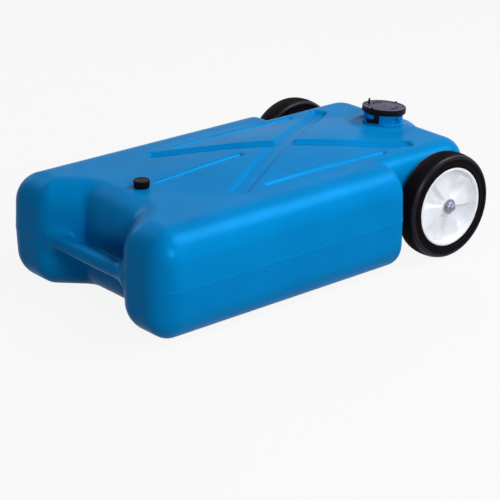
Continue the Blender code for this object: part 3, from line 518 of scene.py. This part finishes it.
CREASE_DEGREES = 35.0
CORNER_SHARE = 0.45
BLOCK_EDGE = 0.0007
PRISM_TAPER_SHARE = 0.12


def finish_piece(name, mesh, material, body, replaced, crease=CREASE_DEGREES):
    """A piece with its finish, its body and the nodes that it stands in for."""
    mesh.polygons.foreach_set("use_smooth", [True] * len(mesh.polygons))
    if crease:
        mesh.set_sharp_from_angle(angle=math.radians(crease))
    mesh.materials.append(material)
    piece = bpy.data.objects.new(name, mesh)
    bpy.context.scene.collection.objects.link(piece)
    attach(piece, body)
    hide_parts(*replaced)
    return piece


def mesh_of(name, bm):
    bmesh.ops.recalc_face_normals(bm, faces=bm.faces)
    mesh = bpy.data.meshes.new(name)
    bm.to_mesh(mesh)
    bm.free()
    return mesh


def softened(points, radius, closed=True, steps=3):
    """A profile with each corner rounded, as far as its sides allow."""
    result = []
    count = len(points)
    for i, (x, y) in enumerate(points):
        here = Vector((x, y))
        if not closed and i in (0, count - 1):
            result.append(here)
            continue
        back = Vector(points[i - 1]) - here
        ahead = Vector(points[(i + 1) % count]) - here
        reach = min(radius, CORNER_SHARE * back.length, CORNER_SHARE * ahead.length)
        start = here + back.normalized() * reach
        end = here + ahead.normalized() * reach
        for k in range(steps + 1):
            share = k / steps
            result.append(start * (1 - share) ** 2 + here * (2 * share * (1 - share)) + end * share ** 2)
    return result


def band(outer, inner, low, high):
    """Square profile of a ring."""
    return [(outer, high), (outer, low), (inner, low), (inner, high)]


def add_turned(bm, profile, steps, at=Matrix(), closed=True, notch=None):
    """A turned solid of (radius, height) points about the local Z axis.

    An open profile starts and ends on the axis. A notch takes a radius, a height and the number of a
    step, and gives how far the skin goes in there.
    """
    rings = []
    for radius, height in profile:
        if radius < ON_AXIS:
            rings.append([bm.verts.new(at @ Vector((0, 0, height)))])
            continue
        ring = []
        for i in range(steps):
            angle = math.tau * i / steps
            out = radius - notch(radius, height, i) if notch else radius
            ring.append(bm.verts.new(at @ Vector((out * math.cos(angle), out * math.sin(angle), height))))
        rings.append(ring)
    pairs = list(zip(rings, rings[1:]))
    if closed:
        pairs.append((rings[-1], rings[0]))
    for first, second in pairs:
        for i in range(steps):
            j = (i + 1) % steps
            loop = [first[i % len(first)], first[j % len(first)]]
            loop += [second[j % len(second)], second[i % len(second)]]
            bm.faces.new(list(dict.fromkeys(loop)))


def add_loft(bm, rings, at=Matrix()):
    """A solid through rings of as many points each, closed at both ends."""
    loops = [[bm.verts.new(at @ Vector(point)) for point in ring] for ring in rings]
    for lower, upper in zip(loops, loops[1:]):
        for i in range(len(lower)):
            j = (i + 1) % len(lower)
            bm.faces.new((lower[i], lower[j], upper[j], upper[i]))
    bm.faces.new(loops[0])
    bm.faces.new(loops[-1])


def add_neck_block(bm, radii, span, under, over, steps=8):
    """A round-edged block bent about the neck's axis, its underside and top given for each angle."""
    inner, outer = radii
    start, end = span
    tuck = BLOCK_EDGE / ((inner + outer) / 2)
    angles = [start, start + tuck] + [start + (end - start) * k / steps for k in range(1, steps)]
    angles += [end - tuck, end]
    rings = []
    for index, angle in enumerate(angles):
        shrink = BLOCK_EDGE if index in (0, len(angles) - 1) else 0.0
        low, high = under(angle) + shrink, over(angle) - shrink
        near, far = inner + shrink, outer - shrink
        section = softened([(near, low), (far, low), (far, high), (near, high)], BLOCK_EDGE, steps=2)
        rings.append([(r * math.cos(angle), r * math.sin(angle), h) for r, h in section])
    add_loft(bm, rings, neck_frame)


def add_prism(bm, outline, low, high, at, top_share=1.0):
    """An upright solid on an outline, whose top is drawn in to a share of its size."""
    centre = sum((Vector(point) for point in outline), Vector((0, 0))) / len(outline)
    rings = []
    shoulder = high - (high - low) * PRISM_TAPER_SHARE
    for height, share in ((low, 1.0), (shoulder, 1.0), (high, top_share)):
        rings.append([(*(centre + (Vector(point) - centre) * share), height) for point in outline])
    add_loft(bm, rings, at)


# Tank

NECK_FOOT_TOP = 0.0042
NECK_FOOT_SHOULDER = 0.0030
NECK_FOOT_PROUD = 0.0012
NECK_OUTER_UNDER = -0.010
NECK_INNER_UNDER = -0.016
NECK_EDGE = 0.0009
NECK_STEPS = 96
VENT_STUB_RADIUS = 0.0100
VENT_STUB_HEIGHT = 0.0090
VENT_OUTER_UNDER = -0.004
VENT_INNER_UNDER = -0.014
SMALL_EDGE = 0.0006
SMALL_STEPS = 48
LUGS = 4
LUG_AZIMUTH = math.radians(199.3)
LUG_ANGLE = math.radians(22.0)
LUG_REACH = 0.0042
LUG_THICKNESS = 0.0070
LUG_UNDERSIDE = 0.0125
STOP_ANGLE = math.radians(4.0)
STOP_FROM_LUG = math.radians(25.5)
STOP_HEIGHT = 0.0070
STOP_UNDERSIDE = -0.003
STOP_STEPS = 3
HOOKS = 2

# How far lugs and hooks rise in one radian: the cap lifts 1.5 mm in its turn of 45 degrees
FOOT_SLOPE = 0.0019098


def build_tank():
    finish_piece("tank_skin", tank_skin_mesh(), blue, "tank", ["tank_shell"], crease=0)

    bm = bmesh.new()
    inner = NECK_RADIUS - NECK_WALL
    wall = [
        (NECK_RADIUS, NECK_HEIGHT),
        (NECK_RADIUS, NECK_FOOT_TOP),
        (NECK_RADIUS + NECK_FOOT_PROUD, NECK_FOOT_SHOULDER),
        (NECK_RADIUS + NECK_FOOT_PROUD, NECK_OUTER_UNDER),
        (inner, NECK_INNER_UNDER),
        (inner, NECK_HEIGHT),
    ]
    add_turned(bm, softened(wall, NECK_EDGE), NECK_STEPS, neck_frame)
    radii = (NECK_RADIUS - NECK_WALL / 2, NECK_RADIUS + LUG_REACH)
    for i in range(LUGS):
        end = LUG_AZIMUTH + math.tau * i / LUGS
        add_neck_block(
            bm,
            radii,
            (end - LUG_ANGLE, end),
            lambda angle, end=end: LUG_UNDERSIDE + (angle - end) * FOOT_SLOPE,
            lambda angle: LUG_UNDERSIDE + LUG_THICKNESS,
        )
    for i in range(HOOKS):
        end = LUG_AZIMUTH + math.tau * i / HOOKS - STOP_FROM_LUG
        add_neck_block(
            bm,
            radii,
            (end - STOP_ANGLE, end),
            lambda angle: STOP_UNDERSIDE,
            lambda angle: STOP_HEIGHT,
            steps=STOP_STEPS,
        )
    finish_piece("filler_neck", mesh_of("filler_neck", bm), blue, "tank", ["tank_shell"])

    bm = bmesh.new()
    wall = [
        (VENT_STUB_RADIUS, VENT_STUB_HEIGHT),
        (VENT_STUB_RADIUS, VENT_OUTER_UNDER),
        (VENT_BORE, VENT_INNER_UNDER),
        (VENT_BORE, VENT_STUB_HEIGHT),
    ]
    add_turned(bm, softened(wall, SMALL_EDGE), SMALL_STEPS, vent_frame)
    finish_piece("vent_stub", mesh_of("vent_stub", bm), blue, "tank", ["tank_shell"])


# Drain cap

CAP_RADIUS = 0.0427
CAP_INNER = 0.0388
CAP_PLATE_UNDER = 0.0292
CAP_PLATE_TOP = 0.0322
CAP_RIM_TOP = 0.0331
CAP_RIM_WIDTH = 0.0045
CAP_RIM_SLOPE = 0.0010
CAP_EDGE = 0.0011
CAP_STEPS = 120
SKIRT_FOOT = 0.0217
HOOK_ARM_ANGLE = math.radians(13.5)
HOOK_GAP = math.radians(1.5)
HOOK_ARM_UNDER = 0.001
HOOK_ARM_OVERLAP = 0.003
FOOT_TOP = 0.0122
FOOT_THICKNESS = 0.0070
NUB_HEIGHT = 0.0016
NUB_WIDTH = 0.0026
NUB_HALF_ANGLE = math.radians(3.5)
NUB_BEFORE_LUG = math.radians(7.5)
POST_AZIMUTH = math.radians(129.0)
POST_FROM_AXIS = 0.030
POST_SIZE = (0.0035, 0.0055)
POST_HEIGHT = 0.0120
POST_EDGE = 0.0012
POST_TOP_SHARE = 0.72
PLATE_SINK = 0.0005
ARROW_RADIUS = 0.0250
ARROW_HALF_WIDTH = 0.0013
ARROW_HEIGHT = 0.0008
ARROW_HEAD = 0.0030
ARROW_HEAD_ANGLE = math.radians(13.0)
ARROW_STEPS = 12
ARROWS = ((math.radians(55), math.radians(104)), (math.radians(-102), math.radians(-53)))
PLATE_RING_RADIUS = 0.0310
PLATE_RING_WIDTH = 0.0012
PLATE_RING_SLOPE = 0.0005
PLATE_RING_DEPTH = 0.0004
PIP_RADIUS = 0.0016
PIP_FOOT_RADIUS = 0.0026
PIP_HEIGHT = 0.0006

# Least upward share of a face's direction for the cap's painted sheen, a paler colour that stands in for
# reflected light
FACE_UP = 0.9


def arrow_outline(start, end):
    outer = ARROW_RADIUS + ARROW_HALF_WIDTH
    inner = ARROW_RADIUS - ARROW_HALF_WIDTH
    angles = [start + (end - start) * k / ARROW_STEPS for k in range(ARROW_STEPS + 1)]
    outline = [(outer * math.cos(a), outer * math.sin(a)) for a in angles]
    for radius, angle in (
        (ARROW_RADIUS + ARROW_HEAD, end),
        (ARROW_RADIUS, end + ARROW_HEAD_ANGLE),
        (ARROW_RADIUS - ARROW_HEAD, end),
    ):
        outline.append((radius * math.cos(angle), radius * math.sin(angle)))
    return outline + [(inner * math.cos(a), inner * math.sin(a)) for a in reversed(angles)]


def build_drain_cap():
    bm = bmesh.new()
    rim_inner = CAP_RADIUS - CAP_RIM_WIDTH
    ring_outer = PLATE_RING_RADIUS + PLATE_RING_WIDTH
    profile = [
        (0.0, CAP_PLATE_TOP + PIP_HEIGHT),
        (PIP_RADIUS, CAP_PLATE_TOP + PIP_HEIGHT),
        (PIP_FOOT_RADIUS, CAP_PLATE_TOP),
        (PLATE_RING_RADIUS - PLATE_RING_SLOPE, CAP_PLATE_TOP),
        (PLATE_RING_RADIUS, CAP_PLATE_TOP - PLATE_RING_DEPTH),
        (ring_outer, CAP_PLATE_TOP - PLATE_RING_DEPTH),
        (ring_outer + PLATE_RING_SLOPE, CAP_PLATE_TOP),
        (rim_inner - CAP_RIM_SLOPE, CAP_PLATE_TOP),
        (rim_inner, CAP_RIM_TOP),
        (CAP_RADIUS, CAP_RIM_TOP),
        (CAP_RADIUS, SKIRT_FOOT),
        (CAP_INNER, SKIRT_FOOT),
        (CAP_INNER, CAP_PLATE_UNDER),
        (0.0, CAP_PLATE_UNDER),
    ]
    skin = softened(profile, CAP_EDGE, closed=False)
    add_turned(bm, skin, CAP_STEPS, neck_frame, closed=False)
    walls = (CAP_INNER, CAP_RADIUS)
    for i in range(HOOKS):
        lug_end = LUG_AZIMUTH + math.tau * i / HOOKS
        arm_start = lug_end + HOOK_GAP
        arm_end = arm_start + HOOK_ARM_ANGLE
        foot_start = lug_end - LUG_ANGLE - HOOK_GAP
        foot_low = FOOT_TOP - FOOT_THICKNESS
        nub_middle = lug_end - NUB_BEFORE_LUG
        add_neck_block(
            bm,
            walls,
            (arm_start, arm_end),
            lambda angle: foot_low + HOOK_ARM_UNDER,
            lambda angle: SKIRT_FOOT + HOOK_ARM_OVERLAP,
        )
        add_neck_block(
            bm,
            walls,
            (foot_start, arm_end),
            lambda angle: foot_low,
            lambda angle, lug_end=lug_end: FOOT_TOP + (angle - lug_end) * FOOT_SLOPE,
        )
        add_neck_block(
            bm,
            (CAP_RADIUS - NUB_WIDTH, CAP_RADIUS),
            (nub_middle - NUB_HALF_ANGLE, nub_middle + NUB_HALF_ANGLE),
            lambda angle: CAP_PLATE_UNDER,
            lambda angle: CAP_RIM_TOP + NUB_HEIGHT,
        )
    sunk = CAP_PLATE_TOP - PLATE_SINK
    for start, end in ARROWS:
        add_prism(bm, arrow_outline(start, end), sunk, CAP_PLATE_TOP + ARROW_HEIGHT, neck_frame)
    half_depth, half_wide = POST_SIZE[0] / 2, POST_SIZE[1] / 2
    corners = [(-half_depth, -half_wide), (half_depth, -half_wide)]
    corners += [(half_depth, half_wide), (-half_depth, half_wide)]
    outline = softened(corners, POST_EDGE)
    at = neck_frame @ Matrix.Rotation(POST_AZIMUTH, 4, "Z") @ Matrix.Translation((POST_FROM_AXIS, 0, 0))
    add_prism(bm, outline, sunk, CAP_PLATE_TOP + POST_HEIGHT, at, top_share=POST_TOP_SHARE)
    mesh = mesh_of("drain_cap_body", bm)
    cap = finish_piece("drain_cap_body", mesh, black, "drain_cap", ["drain_cap"])
    # Upward faces of the cap take the paler colour, a painted sheen on the black plastic; the arrows' tops
    # are left out of it and stay black
    cap.data.materials.append(cap_painted_sheen)
    axis = neck_frame.to_3x3().col[2]
    for face in cap.data.polygons:
        height = (Vector(face.center) - neck_seat).dot(axis)
        aside = (Vector(face.center) - neck_seat - axis * height).length
        arrow = height > CAP_PLATE_TOP + ARROW_HEIGHT / 2 and aside < rim_inner - CAP_RIM_SLOPE
        if height > CAP_PLATE_UNDER and not arrow and face.normal.dot(axis) > FACE_UP:
            face.material_index = 1


# Vent cap

VENT_CAP_RADIUS = 0.0148
VENT_CAP_TAPER = 0.0006
VENT_CAP_TOP = 0.0144
VENT_CAP_ROOF_UNDER = 0.0114
VENT_CAP_FOOT = 0.0003
VENT_CAP_BORE = 0.0107
KNURLS = 30
KNURL_DEPTH = 0.0010
STEPS_PER_KNURL = 8
VENT_CAP_CHAMFER = 0.0006
CHAMFER_KNURL_SHARE = 0.3

# Crown of the vent cap: in from its side, down from its top, and share of the knurls' depth
VENT_CAP_CROWN = (
    (0.0, 0.0016, 1.0),
    (0.0002, 0.0007, 0.4),
    (0.0009, 0.0, 0.0),
    (0.0024, 0.0, 0.0),
    (0.0030, 0.0005, 0.0),
)


def build_vent_cap():
    bm = bmesh.new()
    steps = KNURLS * STEPS_PER_KNURL
    foot_radius = VENT_CAP_RADIUS - VENT_CAP_TAPER

    # Radius, height and share of the knurls' depth
    profile = [
        (VENT_CAP_BORE, VENT_CAP_ROOF_UNDER, 0.0),
        (VENT_CAP_BORE, VENT_CAP_FOOT, 0.0),
        (foot_radius - VENT_CAP_CHAMFER, VENT_CAP_FOOT, CHAMFER_KNURL_SHARE),
        (foot_radius, VENT_CAP_FOOT + VENT_CAP_CHAMFER, 1.0),
    ]
    for inward, down, share in VENT_CAP_CROWN:
        profile.append((VENT_CAP_RADIUS - inward, VENT_CAP_TOP - down, share))
    rings = []
    for radius, height, knurled in profile:
        ring = []
        for i in range(steps):
            angle = math.tau * i / steps
            notch = KNURL_DEPTH * knurled * (0.5 - 0.5 * math.cos(KNURLS * angle)) ** 2
            place = Vector(((radius - notch) * math.cos(angle), (radius - notch) * math.sin(angle), height))
            ring.append(vent_frame @ place)
        rings.append(ring)
    add_loft(bm, rings)
    finish_piece("vent_cap_body", mesh_of("vent_cap_body", bm), black, "vent_cap", ["vent_cap"])


# Wheels

RIM_RADIUS = 0.0757
RIM_HALF = 0.0205
RIM_BED = 0.0729
RIM_BED_HALF = 0.0155
RIM_FLANGE = 0.0030
RIM_EDGE = 0.0012
RIM_STEPS = 120
LIP_INNER = 0.0705
BARREL_MIDDLE = 0.0684
TYRE_HALF = 0.0220
TREAD_HALF = 0.0135
TREAD_CROWN = 0.0012
TYRE_GAP = 0.0003
TREAD_GROOVE_WIDTH = 0.0010
TREAD_GROOVE_DEPTH = 0.0007
TREAD_GROOVE_FLOOR_SHARE = 0.4
RIDGE_DEPTH = 0.0096
RIDGE_FROM_TREAD = 0.001
TREAD_NOTCHES = 180
TREAD_NOTCH_DEPTH = 0.0007

# Grooves on one side of the tread's middle
TREAD_GROOVES = (0.0021, 0.0063, 0.0105)

# Side of the tyre: how far in from the tread and how far out from its edge
TYRE_SIDE = (
    (0.0013, -0.0004),
    (0.0028, 0.0004),
    (0.0026, 0.0012),
    (0.0021, 0.0022),
    (0.0024, 0.0038),
    (0.0036, 0.0056),
    (0.0050, 0.0069),
    (0.0066, 0.0077),
    (0.0082, 0.0078),
    (0.0094, 0.0071),
    (0.0104, 0.0061),
    (0.0130, 0.0058),
)

# Down from there to the rim: out from the rim's radius and out from the tread's edge
TYRE_BEAD = ((0.0090, 0.0061), (0.0060, 0.0072), (0.0040, 0.0078))
BEAD_HEIGHT = 0.0022
BEAD_INSET = 0.0010

# Hub, washer and push nut
PETALS = 4
PETAL_HALF_ANGLE = math.radians(21.5)
PETAL_PHASE = math.radians(13.0)
PETAL_AT_HUB = 0.0045
PETAL_AT_RIM = 0.0100
POCKET_DEPTH = 0.0215
POCKET_WALL = 0.0065
POCKET_FROM = 0.0173
POCKET_FULL = 0.0265
DISC_THICKNESS = 0.0028
DISC_OVERLAP = 0.0020
WALL_RING_STEP = 0.0015
FLOOR_RING_STEP = 0.0045
PETAL_STEPS = 4
WALL_STEPS = 8
FLOOR_STEPS = 2
HUB_RADIUS = 0.0145
HUB_INBOARD = 0.0257
HUB_OUTBOARD = 0.0150
BOSS_STEPS = 60
BUSH_SEAT = 0.0100
WASHER_RADIUS = 0.0143
WASHER_AT = 0.0171
WASHER_THICKNESS = 0.0016
WASHER_EDGE = 0.0004
NUT_AT = 0.0190
NUT_HEIGHT = 0.0055
NUT_RADIUS = 0.0098
NUT_TOP_INSET = 0.0030
NUT_SHOULDER_INSET = 0.0010
NUT_SHOULDER_DROP = 0.0012
NUT_COLLAR_INSET = 0.0006
NUT_COLLAR_TOP = 0.0014
NUT_COLLAR_HEIGHT = 0.0008
AXLE_BORE = 0.0067


def tyre_profile():
    """Half the section from the tread's middle round to the bead, then mirrored."""
    half = [(wheel_radius, 0.0)]
    edge = TREAD_GROOVE_WIDTH / 2
    floor_edge = edge * TREAD_GROOVE_FLOOR_SHARE
    for groove in TREAD_GROOVES:
        crown = wheel_radius - TREAD_CROWN * (groove / TREAD_HALF) ** 2
        half += [
            (crown, groove - edge),
            (crown - TREAD_GROOVE_DEPTH, groove - floor_edge),
            (crown - TREAD_GROOVE_DEPTH, groove + floor_edge),
            (crown, groove + edge),
        ]
    half += [(wheel_radius - inward, TREAD_HALF + outward) for inward, outward in TYRE_SIDE]
    half += [(RIM_RADIUS + over, TREAD_HALF + outward) for over, outward in TYRE_BEAD]
    half += [
        (RIM_RADIUS + BEAD_HEIGHT, TYRE_HALF - BEAD_INSET),
        (RIM_RADIUS + TYRE_GAP, RIM_HALF - TYRE_GAP),
        (RIM_RADIUS + TYRE_GAP, RIM_HALF - RIM_FLANGE - TYRE_GAP),
        (RIM_BED + TYRE_GAP, RIM_BED_HALF - TYRE_GAP),
    ]
    return [(r, h) for r, h in reversed(half)] + [(r, -h) for r, h in half[1:]]


def rim_profile():
    return [
        (RIM_RADIUS, RIM_HALF),
        (RIM_RADIUS, RIM_HALF - RIM_FLANGE),
        (RIM_BED, RIM_BED_HALF),
        (RIM_BED, -RIM_BED_HALF),
        (RIM_RADIUS, -RIM_HALF + RIM_FLANGE),
        (RIM_RADIUS, -RIM_HALF),
        (LIP_INNER, -RIM_HALF),
        (BARREL_MIDDLE, 0.0),
        (LIP_INNER, RIM_HALF),
    ]


def disc_skin(radius, angle):
    """Depth of the wheel disc under the rim's face: flat petals with pockets between them."""
    travel = (radius - HUB_RADIUS) / (LIP_INNER - HUB_RADIUS)
    petal = PETAL_AT_HUB + (PETAL_AT_RIM - PETAL_AT_HUB) * travel
    sunk = float(smooth((radius - POCKET_FROM) / (POCKET_FULL - POCKET_FROM)))
    floor = petal + (POCKET_DEPTH - petal) * sunk
    past = (angle - PETAL_HALF_ANGLE) * max(radius, POCKET_FULL)
    return petal + (floor - petal) * float(smooth(past / POCKET_WALL))


def disc_rings():
    """Radii, and for each the angles from a petal's middle where the disc has vertices."""
    outermost = RIM_BED - DISC_OVERLAP
    radii = [HUB_RADIUS - DISC_OVERLAP, HUB_RADIUS, POCKET_FROM]
    radii += spaced(POCKET_FROM, POCKET_FULL, WALL_RING_STEP)[1:]
    radii += spaced(POCKET_FULL, outermost, FLOOR_RING_STEP) + [outermost]
    share = math.pi / PETALS
    rows = []
    for radius in radii:
        wall = POCKET_WALL / max(radius, POCKET_FULL)
        floor = share - PETAL_HALF_ANGLE - wall
        side = [PETAL_HALF_ANGLE * k / PETAL_STEPS for k in range(PETAL_STEPS + 1)]
        side += [PETAL_HALF_ANGLE + wall * k / WALL_STEPS for k in range(1, WALL_STEPS + 1)]
        side += [PETAL_HALF_ANGLE + wall + floor * k / FLOOR_STEPS for k in range(1, FLOOR_STEPS + 1)]
        rows.append((radius, side))
    return rows


def add_disc(bm, at):
    """The wheel's disc, a front and a back skin closed at the hub and the rim."""
    front, back = [], []
    share = math.tau / PETALS
    for radius, side in disc_rings():
        front_ring, back_ring = [], []
        for petal in range(PETALS):
            middle = PETAL_PHASE + share * petal
            relative = side + [share - angle for angle in reversed(side[1:-1])]
            for angle in relative:
                depth = disc_skin(radius, min(angle, share - angle))
                direction = middle + angle
                x, y = radius * math.cos(direction), radius * math.sin(direction)
                front_ring.append(bm.verts.new(at @ Vector((x, y, RIM_HALF - depth))))
                back_ring.append(bm.verts.new(at @ Vector((x, y, RIM_HALF - depth - DISC_THICKNESS))))
        front.append(front_ring)
        back.append(back_ring)
    for rings in (front, back):
        for inner, outer in zip(rings, rings[1:]):
            for i in range(len(inner)):
                j = (i + 1) % len(inner)
                bm.faces.new((inner[i], outer[i], outer[j], inner[j]))
    for upper, lower in ((front[0], back[0]), (front[-1], back[-1])):
        for i in range(len(upper)):
            j = (i + 1) % len(upper)
            bm.faces.new((upper[i], upper[j], lower[j], lower[i]))


def build_wheel(side, direction):
    at = wheel_frame(direction)
    body = f"{side}_wheel"

    def tread_notch(radius, height, step):
        on_tread = radius > wheel_radius - TREAD_CROWN and abs(height) < TREAD_HALF
        return TREAD_NOTCH_DEPTH if on_tread and step % 2 else 0.0

    bm = bmesh.new()
    add_turned(bm, tyre_profile(), 2 * TREAD_NOTCHES, at, notch=tread_notch)
    tyre = finish_piece(f"{side}_tyre_ring", mesh_of("tyre", bm), tyre_rubber, body, [f"{side}_tyre"])
    # Faces of the shoulder ridge take the glossier rubber, whose bluish tint is painted sheen
    tyre.data.materials.append(ridge_rubber_painted_sheen)
    to_local = at.inverted()
    for face in tyre.data.polygons:
        place = to_local @ Vector(face.center)
        far_out = place.to_2d().length > wheel_radius - RIDGE_DEPTH
        if far_out and abs(place.z) > TREAD_HALF + RIDGE_FROM_TREAD:
            face.material_index = 1

    bm = bmesh.new()
    add_turned(bm, softened(rim_profile(), RIM_EDGE), RIM_STEPS, at)
    add_disc(bm, at)
    boss = band(HUB_RADIUS, BUSH_SEAT, -HUB_INBOARD, HUB_OUTBOARD)
    add_turned(bm, softened(boss, SMALL_EDGE), BOSS_STEPS, at)
    finish_piece(f"{side}_hub_body", mesh_of("hub", bm), white, body, [f"{side}_wheel_hub"])

    bm = bmesh.new()
    ring = band(WASHER_RADIUS, AXLE_BORE, WASHER_AT, WASHER_AT + WASHER_THICKNESS)
    add_turned(bm, softened(ring, WASHER_EDGE), SMALL_STEPS, at)
    washer = mesh_of("washer", bm)
    finish_piece(f"{side}_washer_ring", washer, steel, "tank", [f"{side}_outer_washer"])

    bm = bmesh.new()
    top = NUT_AT + NUT_HEIGHT
    nut = [
        (NUT_RADIUS - NUT_TOP_INSET, top),
        (NUT_RADIUS - NUT_SHOULDER_INSET, top - NUT_SHOULDER_DROP),
        (NUT_RADIUS - NUT_COLLAR_INSET, NUT_AT + NUT_COLLAR_TOP),
        (NUT_RADIUS, NUT_AT + NUT_COLLAR_HEIGHT),
        (NUT_RADIUS, NUT_AT),
        (AXLE_BORE, NUT_AT),
        (AXLE_BORE, top),
    ]
    add_turned(bm, softened(nut, SMALL_EDGE), SMALL_STEPS, at)
    finish_piece(f"{side}_push_nut", mesh_of("nut", bm), steel, "tank", [f"{side}_axle_nut"])


# Nodes of the CAD that stay
WELD_DISTANCE = 0.00002
NODE_BEVEL = 0.0003
NODE_BEVEL_ANGLE = math.radians(40)


def dress_cad_nodes():
    """The small nodes that stay: welded, bevelled, smooth and given their finish."""
    finishes = (("bush", nylon), ("gasket", seal_rubber), ("washer", steel), ("axle", steel))
    for name, node in frame["nodes"].items():
        if node.hide_render:
            continue
        material = next(finish for word, finish in finishes if word in name)
        node.data.materials.clear()
        node.data.materials.append(material)
        node.data.polygons.foreach_set("use_smooth", [True] * len(node.data.polygons))
        weld = node.modifiers.new("Weld", "WELD")
        weld.merge_threshold = WELD_DISTANCE
        edge = node.modifiers.new("Edges", "BEVEL")
        edge.width = NODE_BEVEL
        edge.segments = 2
        edge.limit_method = "ANGLE"
        edge.angle_limit = NODE_BEVEL_ANGLE
        edge.harden_normals = True


# Floor, light and camera

FLOOR_SIZE = 14.0
FLOOR_DROP = 0.0005
FLOOR_COLOUR = (0.45, 0.45, 0.45, 1)
FLOOR_ROUGHNESS = 0.9
FLOOR_GLOW = 0.90
BACKDROP_COLOUR = (1, 1, 1, 1)
AIM_HEIGHT = 0.1
AMBIENT = 0.10
AMBIENT_COLOUR = (0.40, 0.65, 1.0, 1.0)

# Lamps: place, width and height, watts
KEY_LIGHT = (Vector((-0.75, -2.2, 1.3)), (0.8, 0.6), 33.0)
SIDE_LIGHT = (Vector((1.6, -1.1, 2.4)), (1.4, 1.4), 70.0)
BACK_LIGHT = (Vector((-0.3, 3.4, 1.8)), (1.6, 1.6), 30.0)

CAMERA_AZIMUTH = math.radians(40.3)
CAMERA_ELEVATION = math.radians(20.7)
CAMERA_DISTANCE = 3.8827
FOCAL_PIXELS = 2079.2
CENTRE_PIXEL = (252.3, 207.8)
IMAGE_SIZE = 500
SENSOR = 36.0


def seen_directly(tree):
    """1 where a camera, glossy or transmission ray arrives."""
    path = tree.nodes.new("ShaderNodeLightPath")
    value = path.outputs["Is Camera Ray"]
    for name in ("Is Glossy Ray", "Is Transmission Ray"):
        node = tree.nodes.new("ShaderNodeMath")
        node.operation = "MAXIMUM"
        tree.links.new(value, node.inputs[0])
        tree.links.new(path.outputs[name], node.inputs[1])
        value = node.outputs["Value"]
    return value


def build_floor():
    bm = bmesh.new()
    bmesh.ops.create_grid(bm, x_segments=1, y_segments=1, size=FLOOR_SIZE / 2)
    mesh = mesh_of("floor", bm)
    material = bpy.data.materials.new("pale_floor")
    material.use_nodes = True
    tree = material.node_tree
    shader = tree.nodes["Principled BSDF"]
    shader.inputs["Base Color"].default_value = FLOOR_COLOUR
    shader.inputs["Roughness"].default_value = FLOOR_ROUGHNESS
    glow = tree.nodes.new("ShaderNodeEmission")
    mix = tree.nodes.new("ShaderNodeMixShader")
    share = tree.nodes.new("ShaderNodeMath")
    share.operation = "MULTIPLY"
    share.inputs[1].default_value = FLOOR_GLOW
    tree.links.new(seen_directly(tree), share.inputs[0])
    tree.links.new(share.outputs["Value"], mix.inputs[0])
    tree.links.new(shader.outputs["BSDF"], mix.inputs[1])
    tree.links.new(glow.outputs["Emission"], mix.inputs[2])
    tree.links.new(mix.outputs["Shader"], tree.nodes["Material Output"].inputs["Surface"])
    mesh.materials.append(material)
    floor = bpy.data.objects.new("floor", mesh)
    floor.location.z = -FLOOR_DROP
    bpy.context.scene.collection.objects.link(floor)


def add_lamp(name, place, size, power):
    light = bpy.data.lights.new(name, "AREA")
    light.shape = "RECTANGLE"
    light.size, light.size_y = size
    light.energy = power
    lamp = bpy.data.objects.new(name, light)
    lamp.location = place
    lamp.rotation_euler = (place - Vector((0, 0, AIM_HEIGHT))).to_track_quat("Z", "Y").to_euler()
    bpy.context.scene.collection.objects.link(lamp)


def build_light():
    world = bpy.data.worlds.new("studio")
    world.use_nodes = True
    bpy.context.scene.world = world
    tree = world.node_tree
    background = tree.nodes["Background"]
    background.inputs["Color"].default_value = AMBIENT_COLOUR
    background.inputs["Strength"].default_value = AMBIENT
    backdrop = tree.nodes.new("ShaderNodeBackground")
    backdrop.inputs["Color"].default_value = BACKDROP_COLOUR
    mix = tree.nodes.new("ShaderNodeMixShader")
    tree.links.new(seen_directly(tree), mix.inputs[0])
    tree.links.new(background.outputs["Background"], mix.inputs[1])
    tree.links.new(backdrop.outputs["Background"], mix.inputs[2])
    tree.links.new(mix.outputs["Shader"], tree.nodes["World Output"].inputs["Surface"])
    add_lamp("key", *KEY_LIGHT)
    add_lamp("side", *SIDE_LIGHT)
    add_lamp("back", *BACK_LIGHT)


def build_camera():
    level = math.cos(CAMERA_ELEVATION)
    back = Vector(
        (-math.sin(CAMERA_AZIMUTH) * level, -math.cos(CAMERA_AZIMUTH) * level, math.sin(CAMERA_ELEVATION))
    )
    right = Vector((math.cos(CAMERA_AZIMUTH), -math.sin(CAMERA_AZIMUTH), 0))
    matrix = Matrix((right, back.cross(right), back)).transposed().to_4x4()
    matrix.translation = Vector((0, 0, MID_HEIGHT)) + back * CAMERA_DISTANCE
    camera = bpy.data.cameras.new("camera")
    camera.sensor_width = SENSOR
    camera.sensor_fit = "HORIZONTAL"
    camera.lens = FOCAL_PIXELS / IMAGE_SIZE * SENSOR
    camera.shift_x = (IMAGE_SIZE / 2 - CENTRE_PIXEL[0]) / IMAGE_SIZE
    camera.shift_y = (CENTRE_PIXEL[1] - IMAGE_SIZE / 2) / IMAGE_SIZE
    stand = bpy.data.objects.new("camera", camera)
    stand.matrix_world = matrix
    bpy.context.scene.collection.objects.link(stand)
    bpy.context.scene.camera = stand


build_camera()
build_tank()
build_drain_cap()
build_vent_cap()
for wheel_side, wheel_direction in (("left", -1), ("right", 1)):
    build_wheel(wheel_side, wheel_direction)
dress_cad_nodes()
build_floor()
build_light()
bpy.context.scene.view_settings.view_transform = "Standard"
